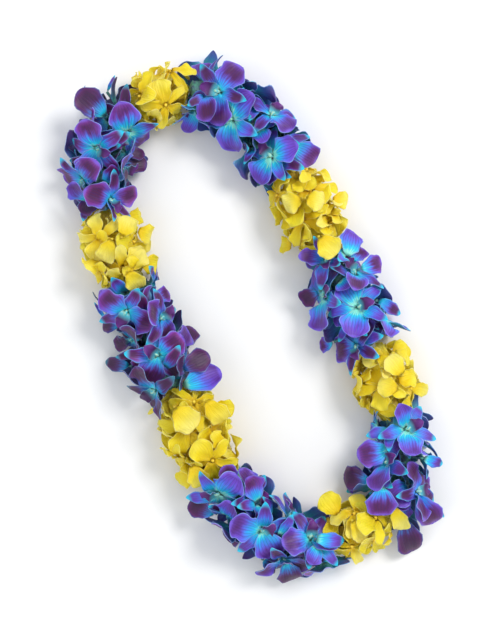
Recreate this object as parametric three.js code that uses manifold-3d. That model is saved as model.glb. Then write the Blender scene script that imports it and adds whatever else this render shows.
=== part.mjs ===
// A fresh orchid lei, lying on a table: dendrobium blooms threaded close together on one cotton string, in
// bands of yellow and of blue-violet that alternate six times round a long loop.
// Millimetres, +Z up. The loop's long axis runs along Y, and the origin is on the table under its middle.
import * as THREE from 'three';
import Module from 'manifold-3d';
import { mergeVertices } from 'three/addons/utils/BufferGeometryUtils.js';

const wasm = await Module();
wasm.setup();
const { Manifold } = wasm;
const { cos, sin, abs, sign, min, max, hypot, round, ceil, floor, PI } = Math;
const { degToRad } = THREE.MathUtils;

// The string's route: a superellipse, for a loop laid down with straight sides and tight ends
const HALF_WIDTH = 86;
const HALF_LENGTH = 207;
const SQUARENESS = 3.2;
const STRING_HEIGHT = 24;

// The string and its knot, and the room that they have inside the packed flower bases
const STRING_RADIUS = 0.8;
const STRING_SIDES = 5;
const STRING_STEPS = 40;
const STRING_ROOM = 0.4;
const KNOT_RADIUS = 2.4;
const KNOT_STRETCH = 1.6;

// What each kind of bloom measures. Petals, sepals and lip are length and width, from the bloom's middle.
const BLUE_BLOOM = {
  colour: 'blue', tone: 0x5a3fb4, step: 9.5, endMargin: 3, stand: 18, basesRadius: 9,
  petal: [29, 26], sepal: [29, 13], lip: [17, 12], throat: 3.4,
};
const YELLOW_BLOOM = {
  colour: 'yellow', tone: 0xf2d21f, step: 6.2, endMargin: 7, stand: 17.5, basesRadius: 8,
  petal: [24, 22], sepal: [25, 11], throat: 3,
};

// Visible length of each band in turn, yellow first, anticlockwise from above, from the start point on
const BANDS_START = 27;
const BAND_LENGTHS = [74, 124, 44, 106, 64, 107, 82, 124, 48, 96, 54, 100];

// Where two bands meet, blue petals lie over yellow blooms, which keep inside a room round the string.
// The room's profile: distance into the yellow band, and radius there.
const UNDERLAP = 4;
const ROOM_PROFILE = [[0, 12], [12, 27], [26, 30], [46, 60], [130, 140]];
const ROOM_SIDES = 16;
const BAND_GAP = 0.3;

// How blooms stand: each is turned from the last one strung, every other one stands high, and faces lean
// along the string, each by its own share
const TURN_BETWEEN = degToRad(137.5);
const TURN_SPREAD = 0.2;
const STEP_SPREAD = 0.25;
const LAYER = 0.12;
const STAND_SPREAD = 0.05;
const SIZE_SPREAD = 0.08;
const LEAN = 0.4;
const LEAN_SPREAD = 0.15;
const SIDEWAYS_SPREAD = 0.22;

// How blades stand, in degrees: raised from the bloom's face, and curled back, more where they go round
const TILT = 12;
const TILT_SPREAD = 8;
const CURL_ALONG = 15;
const CURL_ROUND = 40;
const CURL_SPREAD = 10;
const LIP_TILT = 50;
const LIP_CURL = 50;

// Blades' outlines: shares of length and width up one side. Their keels, and how far their sides are raised.
const PETAL_SIDE = [[0.4, 0.5], [0.82, 0.45]];
const SEPAL_SIDE = [[0.42, 0.5]];
const LIP_SIDE = [[0.5, 0.5]];
const KEEL_AT = 0.52;
const KEEL_DEPTH = 0.8;
const COLUMN_HEIGHT = 4;
const STALK_INSIDE = 3;
const BASES_SIDES = 6;
const BASES_STEPS = 6;
const BASES_SHORT = 1;
const LIP_ROOT = 0.5;
const PETAL_CUP = 0.12;
const SEPAL_CUP = 0.2;
const LIP_CUP = 0.3;

const UP = new THREE.Vector3(0, 0, 1);

// A repeatable random number from -1 to 1, for one bloom and one purpose
const SEED = 7000;
function draw(bloom, purpose) {
  const wave = sin((bloom + SEED) * 12.9898 + purpose * 78.233) * 43758.5453;
  return 2 * (wave - floor(wave)) - 1;
}

// The loop, measured: points of the superellipse, each with the distance along the string to it
const LOOP_SAMPLES = 4000;
const loop = [];
for (let i = 0; i <= LOOP_SAMPLES; i++) {
  const turn = (2 * PI * i) / LOOP_SAMPLES;
  const x = HALF_WIDTH * sign(cos(turn)) * abs(cos(turn)) ** (2 / SQUARENESS);
  const y = HALF_LENGTH * sign(sin(turn)) * abs(sin(turn)) ** (2 / SQUARENESS);
  const last = loop[i - 1];
  loop.push({ x, y, run: last ? last.run + hypot(x - last.x, y - last.y) : 0 });
}
const LOOP_LENGTH = loop[LOOP_SAMPLES].run;

// The string's point at a distance along it
function stringPoint(distance) {
  const run = THREE.MathUtils.euclideanModulo(distance, LOOP_LENGTH);
  const next = max(1, loop.findIndex((point) => point.run >= run));
  const [a, b] = [loop[next - 1], loop[next]];
  const share = (run - a.run) / (b.run - a.run);
  return new THREE.Vector3(a.x + share * (b.x - a.x), a.y + share * (b.y - a.y), STRING_HEIGHT);
}

// The string's point there, its direction, and the level direction out of the loop
const HEADING_REACH = 4;
function station(distance) {
  const ahead = stringPoint(distance + HEADING_REACH).sub(stringPoint(distance - HEADING_REACH)).normalize();
  return { point: stringPoint(distance), ahead, outward: new THREE.Vector3().crossVectors(ahead, UP) };
}

// A stretch of the string, as a path to extrude along
class Stretch extends THREE.Curve {
  constructor(from, to) {
    super();
    this.from = from;
    this.to = to;
  }

  getPoint(share) {
    return stringPoint(this.from + share * (this.to - this.from));
  }

  getPointAt(share) {
    return this.getPoint(share);
  }
}

// A closed solid from points and triangles
function solid(points, triangles) {
  return new Manifold(new wasm.Mesh({
    numProp: 3,
    vertProperties: new Float32Array(points.flatMap((point) => point.toArray())),
    triVerts: new Uint32Array(triangles.flat()),
  }));
}

// A geometry's positions alone, with the points that are one merged, as a solid and back
const SAME_POINT = 0.001;
function solidOf(geometry) {
  geometry.deleteAttribute('normal');
  geometry.deleteAttribute('uv');
  const { attributes, index } = mergeVertices(geometry, SAME_POINT);
  return new Manifold(new wasm.Mesh({
    numProp: 3, vertProperties: attributes.position.array, triVerts: new Uint32Array(index.array),
  }));
}
function geometryOf(made) {
  const { vertProperties, triVerts } = made.getMesh();
  const geometry = new THREE.BufferGeometry();
  geometry.setAttribute('position', new THREE.BufferAttribute(vertProperties, 3));
  geometry.setIndex(new THREE.BufferAttribute(triVerts, 1));
  return geometry;
}

// A round bar along a stretch of the string
function bar(from, to, radius, sides, steps) {
  const section = new THREE.Shape();
  for (let k = 0; k < sides; k++) {
    const turn = (2 * PI * k) / sides;
    section[k ? 'lineTo' : 'moveTo'](radius * cos(turn), radius * sin(turn));
  }
  return solidOf(new THREE.ExtrudeGeometry(section, { extrudePath: new Stretch(from, to), steps }));
}

// One blade: its rim from the notch on its right to the notch on its left, and the keel behind it.
// tilt raises the blade towards the viewer, curl turns its tip back, cup raises its two sides.
function blade(side, [length, width], throat, angle, tilt, curl, cup) {
  const place = (along, across, lift) => {
    const out = along * (length - throat);
    const slope = tilt - (curl * along) / 2;
    const forward = throat + out * cos(slope) - lift * sin(slope);
    const sideways = across * width;
    return new THREE.Vector3(
      forward * cos(angle) - sideways * sin(angle),
      forward * sin(angle) + sideways * cos(angle),
      out * sin(slope) + lift * cos(slope),
    );
  };
  const right = side.map(([along, across]) => place(along, -across, cup * across * width));
  const left = side.map(([along, across]) => place(along, across, cup * across * width)).reverse();
  return { rim: [...right, place(1, 0, 0), ...left], keel: place(KEEL_AT, 0, -KEEL_DEPTH) };
}

// A ring of points filled with triangles that run across it, from its two ends to its middle
function strip(ring) {
  const triangles = [];
  for (let [low, high] = [0, ring.length - 1]; low + 1 < high; low++, high--) {
    triangles.push([ring[low], ring[low + 1], ring[high]]);
    if (low + 1 < high - 1) triangles.push([ring[low + 1], ring[high - 1], ring[high]]);
  }
  return triangles;
}

// The radius of a yellow band's room, that far into the band
function roomRadius(run) {
  const next = max(1, ROOM_PROFILE.findIndex(([reach]) => reach >= run));
  const [[a, low], [b, high]] = [ROOM_PROFILE[next - 1], ROOM_PROFILE[next]];
  return low + ((high - low) * (run - a)) / (b - a);
}

// How far a point is out of bounds: under the table, in the packed bases, or in the next band's room
const PRESSED = 0.5;
const OFF_BASES = 1;
function trespass(corner, { point, ahead, basesRadius, borders }) {
  const away = corner.clone().sub(point);
  let worst = max(-corner.z - PRESSED, OFF_BASES + basesRadius - away.projectOnPlane(ahead).length());
  for (const { foot, intoYellow, isYellow } of borders) {
    away.copy(corner).sub(foot);
    const run = away.dot(intoYellow);
    const inside = roomRadius(max(0, run)) - away.projectOnPlane(intoYellow).length();
    worst = max(worst, BAND_GAP + (isYellow ? max(-inside, -run) : min(run, inside)));
  }
  return worst;
}

// Whether any edge of some triangles passes through one of the others
const ray = new THREE.Ray();
const hit = new THREE.Vector3();
function pierces(edges, triangles) {
  return edges.some(([a, b]) => {
    const length = a.distanceTo(b);
    ray.set(a, b.clone().sub(a).divideScalar(length));
    return triangles.some(([p, q, r]) => ray.intersectTriangle(p, q, r, false, hit) && hit.distanceTo(a) < length);
  });
}

// The blades of the blooms placed so far, and how many of them a new blade would cross
const placedBlades = [];
const CROSSING_REACH = 34;
function crossings({ middle, edges, triangles }) {
  const near = placedBlades.filter((other) => other.middle.distanceTo(middle) < CROSSING_REACH);
  return near.filter((other) => pierces(edges, other.triangles) || pierces(other.edges, triangles)).length;
}

// The blade at the tilt that keeps it clear of the table, of the next band and of other blades, as far as
// that goes, with the least bend. A bent blade is also folded, so narrower.
const BEND_STEP = degToRad(6);
const MOST_BENDS = 10;
const BEND_COST = 0.05;
const TRESPASS_COST = 3;
const NARROWING = 0.4;
function bentClear(make, root, tilt, bounds) {
  let best = null;
  for (let i = 0; i <= 2 * MOST_BENDS; i++) {
    const bend = (i % 2 ? 1 : -1) * ceil(i / 2) * BEND_STEP;
    const { rim, keel } = make(tilt + bend, 1 - NARROWING * min(1, abs(bend)));
    const worst = max(0, ...[...rim, keel].map((point) => trespass(point, bounds)));
    const cost = BEND_COST * ceil(i / 2) + TRESPASS_COST * worst;
    if (best && cost >= best.cost) continue;
    const triangles = strip([root, ...rim]);
    const made = { rim, keel, triangles, edges: triangles.flatMap(([a, b, c]) => [[a, b], [b, c]]), middle: keel };
    made.cost = cost + crossings(made);
    if (!best || made.cost < best.cost) best = made;
  }
  return best;
}

// One bloom at one roll: its frame, and its five blades and lip where they come to lie
const TEPALS = ['sepal', 'petal', 'sepal', 'sepal', 'petal'];
function bloomAt(kind, { bloom, distance, turn, layer, borders }, roll) {
  const { point, ahead, outward } = station(distance);
  const radial = UP.clone().multiplyScalar(cos(turn)).addScaledVector(outward, sin(turn));
  const around = new THREE.Vector3().crossVectors(ahead, radial);
  const size = 1 + SIZE_SPREAD * draw(bloom, 1);
  const stand = kind.stand * (1 + layer * LAYER + STAND_SPREAD * draw(bloom, 2));
  const face = radial.clone()
    .addScaledVector(ahead, LEAN + LEAN_SPREAD * draw(bloom, 3))
    .addScaledVector(around, SIDEWAYS_SPREAD * draw(bloom, 4))
    .normalize();
  const right = new THREE.Vector3()
    .addScaledVector(ahead, -sin(roll)).addScaledVector(around, cos(roll))
    .projectOnPlane(face).normalize();
  const top = new THREE.Vector3().crossVectors(face, right);
  const frame = new THREE.Matrix4().makeBasis(right, top, face)
    .setPosition(point.clone().addScaledVector(radial, stand));
  const root = new THREE.Vector3(0, 0, KEEL_DEPTH).applyMatrix4(frame);
  const bounds = { point, ahead, basesRadius: kind.basesRadius, borders };
  const settle = (side, measures, throat, angle, tilt, curl, cup) => bentClear((slope, narrow) => {
    const [length, width] = measures.map((measure) => measure * size);
    const { rim, keel } = blade(side, [length, width * narrow], throat, angle, slope, curl, cup);
    return { rim: rim.map((corner) => corner.applyMatrix4(frame)), keel: keel.applyMatrix4(frame) };
  }, root, tilt, bounds);

  const blades = TEPALS.map((name, i) => {
    const angle = PI / 2 + (i * 2 * PI) / TEPALS.length;
    const roundness = sin(angle - PI / 2 + roll) ** 2;
    const tilt = degToRad(TILT + TILT_SPREAD * draw(bloom, 10 + i));
    const curl = degToRad(CURL_ALONG + CURL_ROUND * roundness + CURL_SPREAD * draw(bloom, 20 + i));
    const [side, cup] = name === 'petal' ? [PETAL_SIDE, PETAL_CUP] : [SEPAL_SIDE, SEPAL_CUP];
    return settle(side, kind[name], kind.throat * size, angle, tilt, curl, cup);
  });
  if (kind.lip) {
    const tilt = degToRad(LIP_TILT + TILT_SPREAD * draw(bloom, 40));
    blades.push(settle(LIP_SIDE, kind.lip, LIP_ROOT, -PI / 2, tilt, degToRad(LIP_CURL), LIP_CUP));
  }
  return { kind, size, stand, frame, root, blades, cost: blades.reduce((sum, { cost }) => sum + cost, 0) };
}

// The solids of a bloom, at the roll where its blades cross the fewest others: its five blades round a
// throat, with a column in front and a stalk that ends in the packed bases, and its lip
const ROLLS = 5;
function bloomSolids(kind, place) {
  const rolls = Array.from({ length: ROLLS }, (_, i) => PI * draw(place.bloom, 5) + degToRad((72 / ROLLS) * i));
  const tries = rolls.map((roll) => bloomAt(kind, place, roll));
  const { size, stand, frame, root, blades } = tries.reduce((a, b) => (b.cost < a.cost ? b : a));
  placedBlades.push(...blades);

  const throat = kind.throat * size;
  const points = [
    new THREE.Vector3(0, -COLUMN_HEIGHT * size, COLUMN_HEIGHT * size).applyMatrix4(frame),
    new THREE.Vector3(0, 0, kind.basesRadius - STALK_INSIDE - stand).applyMatrix4(frame),
  ];
  const triangles = [];
  TEPALS.forEach((_, i) => {
    const notch = PI / 2 + ((i - 0.5) * 2 * PI) / TEPALS.length;
    [KEEL_DEPTH, -KEEL_DEPTH].forEach((height) => points.push(
      new THREE.Vector3(throat * cos(notch), throat * sin(notch), height).applyMatrix4(frame),
    ));
  });
  TEPALS.forEach((_, i) => {
    const rim = blades[i].rim.map((corner) => points.push(corner) - 1);
    const keel = points.push(blades[i].keel) - 1;
    const [front, nextFront] = [2 + 2 * i, 2 + 2 * ((i + 1) % TEPALS.length)];
    const [back, nextBack] = [front + 1, nextFront + 1];
    const behind = [back, ...rim, nextBack];
    triangles.push(
      [0, front, nextFront], [1, nextBack, back],
      [rim[0], front, back], [nextFront, rim.at(-1), nextBack],
      ...strip([front, ...rim, nextFront]),
      ...behind.map((corner, k) => [keel, behind[(k + 1) % behind.length], corner]),
    );
  });
  const solids = [solid(points, triangles)];

  const lip = blades[TEPALS.length];
  if (lip) {
    const edge = [root, ...lip.rim];
    const corners = edge.map((_, k) => k);
    const behind = corners.map((k) => [edge.length, (k + 1) % edge.length, k]);
    solids.push(solid([...edge, lip.keel], [...strip(corners), ...behind]));
  }
  return solids;
}

// The room of a yellow band, turned round the string's heading at one of its ends
function roomFrom(distance, direction, grow) {
  const { point, ahead } = station(distance);
  const profile = ROOM_PROFILE.map(([run, radius]) => new THREE.Vector2(radius + grow, run));
  profile[0].y -= grow;
  const [foot, far] = [profile[0], profile.at(-1)];
  const geometry = new THREE.LatheGeometry(
    [new THREE.Vector2(0, foot.y), ...profile, new THREE.Vector2(0, far.y)], ROOM_SIDES,
  );
  const axis = ahead.multiplyScalar(direction);
  geometry.applyQuaternion(new THREE.Quaternion().setFromUnitVectors(new THREE.Vector3(0, 1, 0), axis));
  geometry.translate(point.x, point.y, point.z);
  return solidOf(geometry);
}
function yellowRoom({ from, to }, grow) {
  return roomFrom(from, 1, grow).intersect(roomFrom(to, -1, grow));
}

// The largest single body of a solid: loose scraps and sealed hollows go
function largestBody(made) {
  const bodies = solidOf(geometryOf(made)).decompose();
  return bodies.reduce((a, b) => (b.volume() > a.volume() ? b : a));
}

function mesh(name, made, colour) {
  const material = new THREE.MeshStandardMaterial({ color: colour, roughness: 0.6, metalness: 0 });
  const shown = new THREE.Mesh(geometryOf(made), material);
  shown.name = name;
  return shown;
}

// Each band's own length of string: yellow runs on under the blue petals at both its ends
const bands = [];
let reached = BANDS_START;
BAND_LENGTHS.forEach((length, index) => {
  const isYellow = index % 2 === 0;
  const spread = isYellow ? UNDERLAP : -UNDERLAP;
  bands.push({ index, isYellow, from: reached - spread, to: reached + length + spread });
  reached += length;
});

// The string's two ends meet in the knot, which sits where two bands meet
const knotAt = bands[0].from;
const KNOT_INSIDE = 0.5;
function stringAndKnot(grow) {
  const { point, ahead } = station(knotAt);
  const knot = new THREE.IcosahedronGeometry(KNOT_RADIUS + grow, 1);
  knot.scale(1, KNOT_STRETCH, 1);
  knot.applyQuaternion(new THREE.Quaternion().setFromUnitVectors(new THREE.Vector3(0, 1, 0), ahead));
  knot.translate(point.x, point.y, point.z);
  const [from, to] = [knotAt + KNOT_INSIDE, knotAt + LOOP_LENGTH - KNOT_INSIDE];
  return bar(from, to, STRING_RADIUS + grow, STRING_SIDES, STRING_STEPS).add(solidOf(knot));
}

const lei = new THREE.Group();
lei.name = 'orchid_lei';
const stringRoom = stringAndKnot(STRING_ROOM);
let bloomCount = 0;
for (const band of bands) {
  const { from, to, isYellow, index } = band;
  const kind = isYellow ? YELLOW_BLOOM : BLUE_BLOOM;
  const borders = [from, to].map((end, k) => {
    const { point, ahead } = station(end);
    return { foot: point, intoYellow: ahead.multiplyScalar(isYellow === (k === 0) ? 1 : -1), isYellow };
  });
  const room = to - from - 2 * kind.endMargin;
  const count = round(room / kind.step);
  const pieces = [bar(from + BASES_SHORT, to - BASES_SHORT, kind.basesRadius, BASES_SIDES, BASES_STEPS)];
  for (let i = 0; i < count; i++) {
    bloomCount += 1;
    pieces.push(...bloomSolids(kind, {
      bloom: bloomCount,
      distance: from + kind.endMargin + ((i + 0.5 + STEP_SPREAD * draw(bloomCount, 6)) * room) / count,
      turn: TURN_BETWEEN * bloomCount + TURN_SPREAD * draw(bloomCount, 7),
      layer: bloomCount % 2 ? -1 : 1,
      borders,
    }));
  }
  let body = Manifold.union(pieces);
  if (isYellow) body = body.intersect(yellowRoom(band, -BAND_GAP / 2));
  else bands.filter((b) => b.isYellow).forEach((b) => { body = body.subtract(yellowRoom(b, BAND_GAP / 2)); });
  body = body.trimByPlane([0, 0, 1], 0).subtract(stringRoom);
  lei.add(mesh(`${kind.colour}_orchids_${floor(index / 2) + 1}`, largestBody(body), kind.tone));
}
lei.add(mesh('string', stringAndKnot(0), 0xe8e2d0));

export default lei;
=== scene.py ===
# %% [markdown]
# # A fresh orchid lei
# This lesson dresses a garland of dendrobium blooms that lies on a pale table. The solid model of the lei
# is loaded first, as a fixed frame. Each of its bands of blooms is then replaced by finer petals, which
# follow the same rule as the solids do, so every petal lies close to where its solid lay.

# %% Load the frame
import math

import bpy
import numpy as np
from mathutils import Matrix, Vector
from mathutils.bvhtree import BVHTree


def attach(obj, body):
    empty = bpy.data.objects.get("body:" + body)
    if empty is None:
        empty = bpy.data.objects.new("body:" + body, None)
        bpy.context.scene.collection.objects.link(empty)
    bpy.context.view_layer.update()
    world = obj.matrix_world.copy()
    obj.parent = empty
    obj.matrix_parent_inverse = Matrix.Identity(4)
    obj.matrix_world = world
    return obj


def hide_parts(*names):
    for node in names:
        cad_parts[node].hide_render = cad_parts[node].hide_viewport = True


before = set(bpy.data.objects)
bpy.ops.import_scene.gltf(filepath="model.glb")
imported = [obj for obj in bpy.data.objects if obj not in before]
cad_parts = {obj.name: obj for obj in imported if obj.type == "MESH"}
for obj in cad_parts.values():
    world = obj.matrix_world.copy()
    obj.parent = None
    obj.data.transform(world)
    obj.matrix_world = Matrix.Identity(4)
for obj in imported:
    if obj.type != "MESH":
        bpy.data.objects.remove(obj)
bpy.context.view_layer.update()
MM = 0.001
print("frame's nodes:", sorted(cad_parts))

# %% [markdown]
# ## The string's route
# A lei laid down by its two ends makes a long loop with straight sides. A superellipse draws it with three
# numbers, so it is used here in place of a hand-drawn spline. The loop is measured once, as distance run
# along the string, because flowers are strung at distances and not at angles. All sizes from here on are in
# millimetres, and become metres when a mesh is made.

# %% The loop, measured along the string
HALF_WIDTH = 86
HALF_LENGTH = 207
SQUARENESS = 3.2
STRING_HEIGHT = 24
LOOP_SAMPLES = 4000
HEADING_REACH = 4
UP = np.array([0.0, 0.0, 1.0])


def superellipse(turn):
    """The point at that angle: each half size times the cosine or sine raised to 2 over the squareness."""
    c, s = np.cos(turn), np.sin(turn)
    power = 2 / SQUARENESS
    x = HALF_WIDTH * np.sign(c) * np.abs(c) ** power
    y = HALF_LENGTH * np.sign(s) * np.abs(s) ** power
    return np.stack([x, y, np.full_like(x, STRING_HEIGHT)], axis=-1)


loop = superellipse(np.linspace(0, 2 * np.pi, LOOP_SAMPLES + 1))
loop_run = np.concatenate([[0], np.cumsum(np.linalg.norm(np.diff(loop, axis=0), axis=1))])
LOOP_LENGTH = loop_run[-1]


def string_point(distance):
    """The string's point at a distance along it, read off the measured loop."""
    run = np.mod(distance, LOOP_LENGTH)
    return np.stack([np.interp(run, loop_run, loop[:, k]) for k in range(3)], axis=-1)


def unit(v):
    """A vector, or each row of vectors, made one long."""
    return v / np.linalg.norm(v, axis=-1, keepdims=True)


def station(distance):
    """The string's point there, its direction, and the level direction out of the loop."""
    ahead = unit(string_point(distance + HEADING_REACH) - string_point(distance - HEADING_REACH))
    return string_point(distance), ahead, np.cross(ahead, UP)


print(f"the string is {LOOP_LENGTH:.0f} mm round")

# %% [markdown]
# ## Bands and kinds of bloom
# Each kind of bloom is a handful of sizes: how far apart its blooms are strung, how high they stand off the
# string, how long and wide their petals, sepals and lips are. The bands are the lengths of string that each
# colour covers, yellow first. A seeded wave gives every bloom its own small differences, so the lei comes out
# the same on each run. Each use of that luck on a bloom has its own number, so that none repeats another.

# %% What each kind measures
BLUE = dict(
    colour="blue", step=9.5, end_margin=3, stand=18, bases_radius=9,
    petal=(29, 26), sepal=(29, 13), lip=(17, 12), throat=3.4,
)
YELLOW = dict(
    colour="yellow", step=6.2, end_margin=7, stand=17.5, bases_radius=8,
    petal=(24, 22), sepal=(25, 11), lip=None, throat=3,
)
BANDS_START = 27
BAND_LENGTHS = [74, 124, 44, 106, 64, 107, 82, 124, 48, 96, 54, 100]
UNDERLAP = 4
SEED = 7000
PURPOSES = dict(
    size=1, stand=2, lean=3, sideways=4, roll=5, step=6, turn=7, tilt=10, curl=20, lip_tilt=40, stray_curl=1,
    sag=60, tone=70, cool=71, surface=100,
)


def draw(bloom, purpose, part=0):
    """A repeatable random number from -1 to 1: the fraction left by a very steep sine wave."""
    wave = math.sin((bloom + SEED) * 12.9898 + (PURPOSES[purpose] + part) * 78.233) * 43758.5453
    return 2 * (wave - math.floor(wave)) - 1


bands = []
reached = BANDS_START
for index, length in enumerate(BAND_LENGTHS):
    kind = BLUE if index % 2 else YELLOW
    spread = -UNDERLAP if index % 2 else UNDERLAP
    start, end = reached - spread, reached + length + spread
    bands.append(dict(number=index // 2 + 1, kind=kind, start=start, end=end))
    reached += length
print(len(bands), "bands cover", reached - BANDS_START, "mm")

# %% [markdown]
# ## How a blade lies
# Petals, sepals and lips are all blades: they leave the bloom's middle at a tilt, curl back along their
# length and raise their two sides. One function places any point of any blade, so the coarse outline that is
# used to find room for a blade and the fine surface that is seen later are sure to agree. An outline's
# corners are given as shares of the blade's length and width, for one side of it.

# %% Place a point of a blade
TILT, TILT_SPREAD = math.radians(12), math.radians(8)
CURL_ALONG, CURL_ROUND, CURL_SPREAD = math.radians(15), math.radians(40), math.radians(10)
LIP_TILT, LIP_CURL = math.radians(50), math.radians(50)
PETAL_SIDE = [(0.4, 0.5), (0.82, 0.45)]
SEPAL_SIDE = [(0.42, 0.5)]
LIP_SIDE = [(0.5, 0.5)]
KEEL_AT, KEEL_DEPTH = 0.52, 0.8
LIP_ROOT = 0.5
CUPS = dict(petal=0.12, sepal=0.2, lip=0.3)
SIDES = dict(petal=PETAL_SIDE, sepal=SEPAL_SIDE, lip=LIP_SIDE)


def place(blade, along, across, lift):
    """A point in the bloom's own frame. It goes out along a line whose slope falls by half the curl up to
    the tip, sideways by its share of the width, and off the surface by the lift. Then it turns to the
    blade's angle, and the whole blade may be raised off the bloom's face."""
    out = along * (blade["length"] - blade["throat"])
    slope = blade["tilt"] - blade["curl"] * along / 2
    forward = blade["throat"] + out * np.cos(slope) - lift * np.sin(slope)
    sideways = across * blade["width"]
    c, s = math.cos(blade["angle"]), math.sin(blade["angle"])
    up = blade["rise"] + out * np.sin(slope) + lift * np.cos(slope)
    return np.stack(np.broadcast_arrays(forward * c - sideways * s, forward * s + sideways * c, up), axis=-1)


def coarse_outline(blade):
    """The blade's few corners, from its right side round the tip to its left side, and its keel."""
    side = SIDES[blade["form"]]
    along = np.array([a for a, _ in side] + [1.0] + [a for a, _ in reversed(side)])
    across = np.array([-w for _, w in side] + [0.0] + [w for _, w in reversed(side)])
    width = np.asarray(blade["width"])
    rim = place(blade, along, across, CUPS[blade["form"]] * np.abs(across) * width)
    keel = place(blade, KEEL_AT, 0.0, -KEEL_DEPTH)
    return rim, keel


print("corners on one side of a blade:", {form: len(side) for form, side in SIDES.items()})

# %% [markdown]
# ## Room for each blade
# Fresh petals push each other aside when they are strung this close. Here each blade tries a row of bends
# and keeps the one that crosses the fewest blades laid before it, and stays over the table and out of the
# next band. Whether an edge passes through a triangle is read off the signs of line-to-line products, which
# come from one matrix product for all pairs at once.

# %% Crossing tests
def strip(ring):
    """Corner numbers of the triangles that run across a ring of corners, from its two ends to its middle."""
    triangles, low, high = [], 0, ring - 1
    while low + 1 < high:
        triangles.append((low, low + 1, high))
        if low + 1 < high - 1:
            triangles.append((low + 1, high - 1, high))
        low, high = low + 1, high - 1
    return triangles


def cross(a, b):
    """The cross product of two rows of vectors, written out because it is called so often."""
    x = a[..., 1] * b[..., 2] - a[..., 2] * b[..., 1]
    y = a[..., 2] * b[..., 0] - a[..., 0] * b[..., 2]
    z = a[..., 0] * b[..., 1] - a[..., 1] * b[..., 0]
    return np.stack([x, y, z], axis=-1)


class Facets:
    """Triangles and the edges that may pass through others, of one blade or of many laid end to end."""

    def __init__(self, corners, pattern):
        """Keeps each edge's line as its direction and moment, and each triangle's plane and side lines."""
        a, b, c = (corners[..., [t[k] for t in pattern], :].reshape(-1, 3) for k in range(3))
        self.starts, self.ends = np.concatenate([a, b]), np.concatenate([b, c])
        self.edge_way = self.ends - self.starts
        self.edge_moment = cross(self.starts, self.ends)
        sides = np.stack([a, b, c]), np.stack([b, c, a])
        self.side_way = sides[1] - sides[0]
        self.side_moment = cross(*sides)
        self.normal = cross(b - a, c - a)
        self.offset = (self.normal * a).sum(-1)

    def pierces(self, other):
        """A table of booleans: whether each edge of this one passes through each triangle of the other."""
        way, moment = self.edge_way, self.edge_moment
        turns = way @ other.side_moment.transpose(0, 2, 1) + moment @ other.side_way.transpose(0, 2, 1)
        inside = (turns >= 0).all(0) | (turns <= 0).all(0)
        heights = [points @ other.normal.T - other.offset for points in (self.starts, self.ends)]
        return inside & (heights[0] * heights[1] <= 0)


def gathered(parts):
    """Several blades' facets as one."""
    whole = object.__new__(Facets)
    for name in vars(parts[0]):
        axis = 1 if name.startswith("side") else 0
        setattr(whole, name, np.concatenate([getattr(part, name) for part in parts], axis=axis))
    return whole


print("a petal's outline is cut into", len(strip(2 * len(PETAL_SIDE) + 2)), "triangles")

# %% [markdown]
# ## Settling a bloom
# A bloom's whole form follows from its number: how far along the string it sits, how it is turned, how high
# it stands. Of five rolls about its own axis the one with the least crossing is kept, which is what fingers
# do when they turn a bloom until it drops into place. A blade may not go under the table, into the packed
# bases, or into the next band's room, whose radius grows with the distance past the border.

# %% Bends, rolls and the cost of each
PRESSED, OFF_BASES, BAND_GAP = 0.5, 1, 0.3
ROOM_RUNS, ROOM_RADII = (0, 12, 26, 46, 130), (12, 27, 30, 60, 140)
CROSSING_REACH = 34
BEND_STEP, MOST_BENDS, BEND_COST, TRESPASS_COST = math.radians(6), 10, 0.05, 3
NARROWING = 0.4
ROLLS = 5
TURN_BETWEEN, TURN_SPREAD, STEP_SPREAD = math.radians(137.5), 0.2, 0.25
LAYER, STAND_SPREAD, SIZE_SPREAD = 0.12, 0.05, 0.08
LEAN, LEAN_SPREAD, SIDEWAYS_SPREAD = 0.4, 0.15, 0.22
TEPALS = ["sepal", "petal", "sepal", "sepal", "petal"]
BASES_MARGIN = 5
bend_steps = np.arange(2 * MOST_BENDS + 1)
BENDS = np.where(bend_steps % 2, 1, -1) * np.ceil(bend_steps / 2) * BEND_STEP
print(len(BENDS), "bends, up to", round(math.degrees(BENDS.max())), "degrees either way")
for band in bands:
    is_yellow = band["kind"] is YELLOW
    band["borders"] = []
    for end, way in ((band["start"], 1), (band["end"], -1)):
        point, ahead, _ = station(end)
        band["borders"].append((point, ahead * (way if is_yellow else -way), is_yellow))


def trespass(points, spot):
    """How far each point is out of bounds: under the table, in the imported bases, or in the next band."""
    away = points - spot["point"]
    from_string = np.linalg.norm(away - (away @ spot["ahead"])[..., None] * spot["ahead"], axis=-1)
    worst = np.maximum(-points[..., 2] - PRESSED, OFF_BASES + spot["kind"]["bases_radius"] - from_string)
    for foot, into_yellow, is_yellow in spot["band"]["borders"]:
        away = points - foot
        run = away @ into_yellow
        from_axis = np.linalg.norm(away - run[..., None] * into_yellow, axis=-1)
        inside = np.interp(np.maximum(run, 0), ROOM_RUNS, ROOM_RADII) - from_axis
        out = np.maximum(-inside, -run) if is_yellow else np.minimum(run, inside)
        worst = np.maximum(worst, BAND_GAP + out)
    return worst


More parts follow.
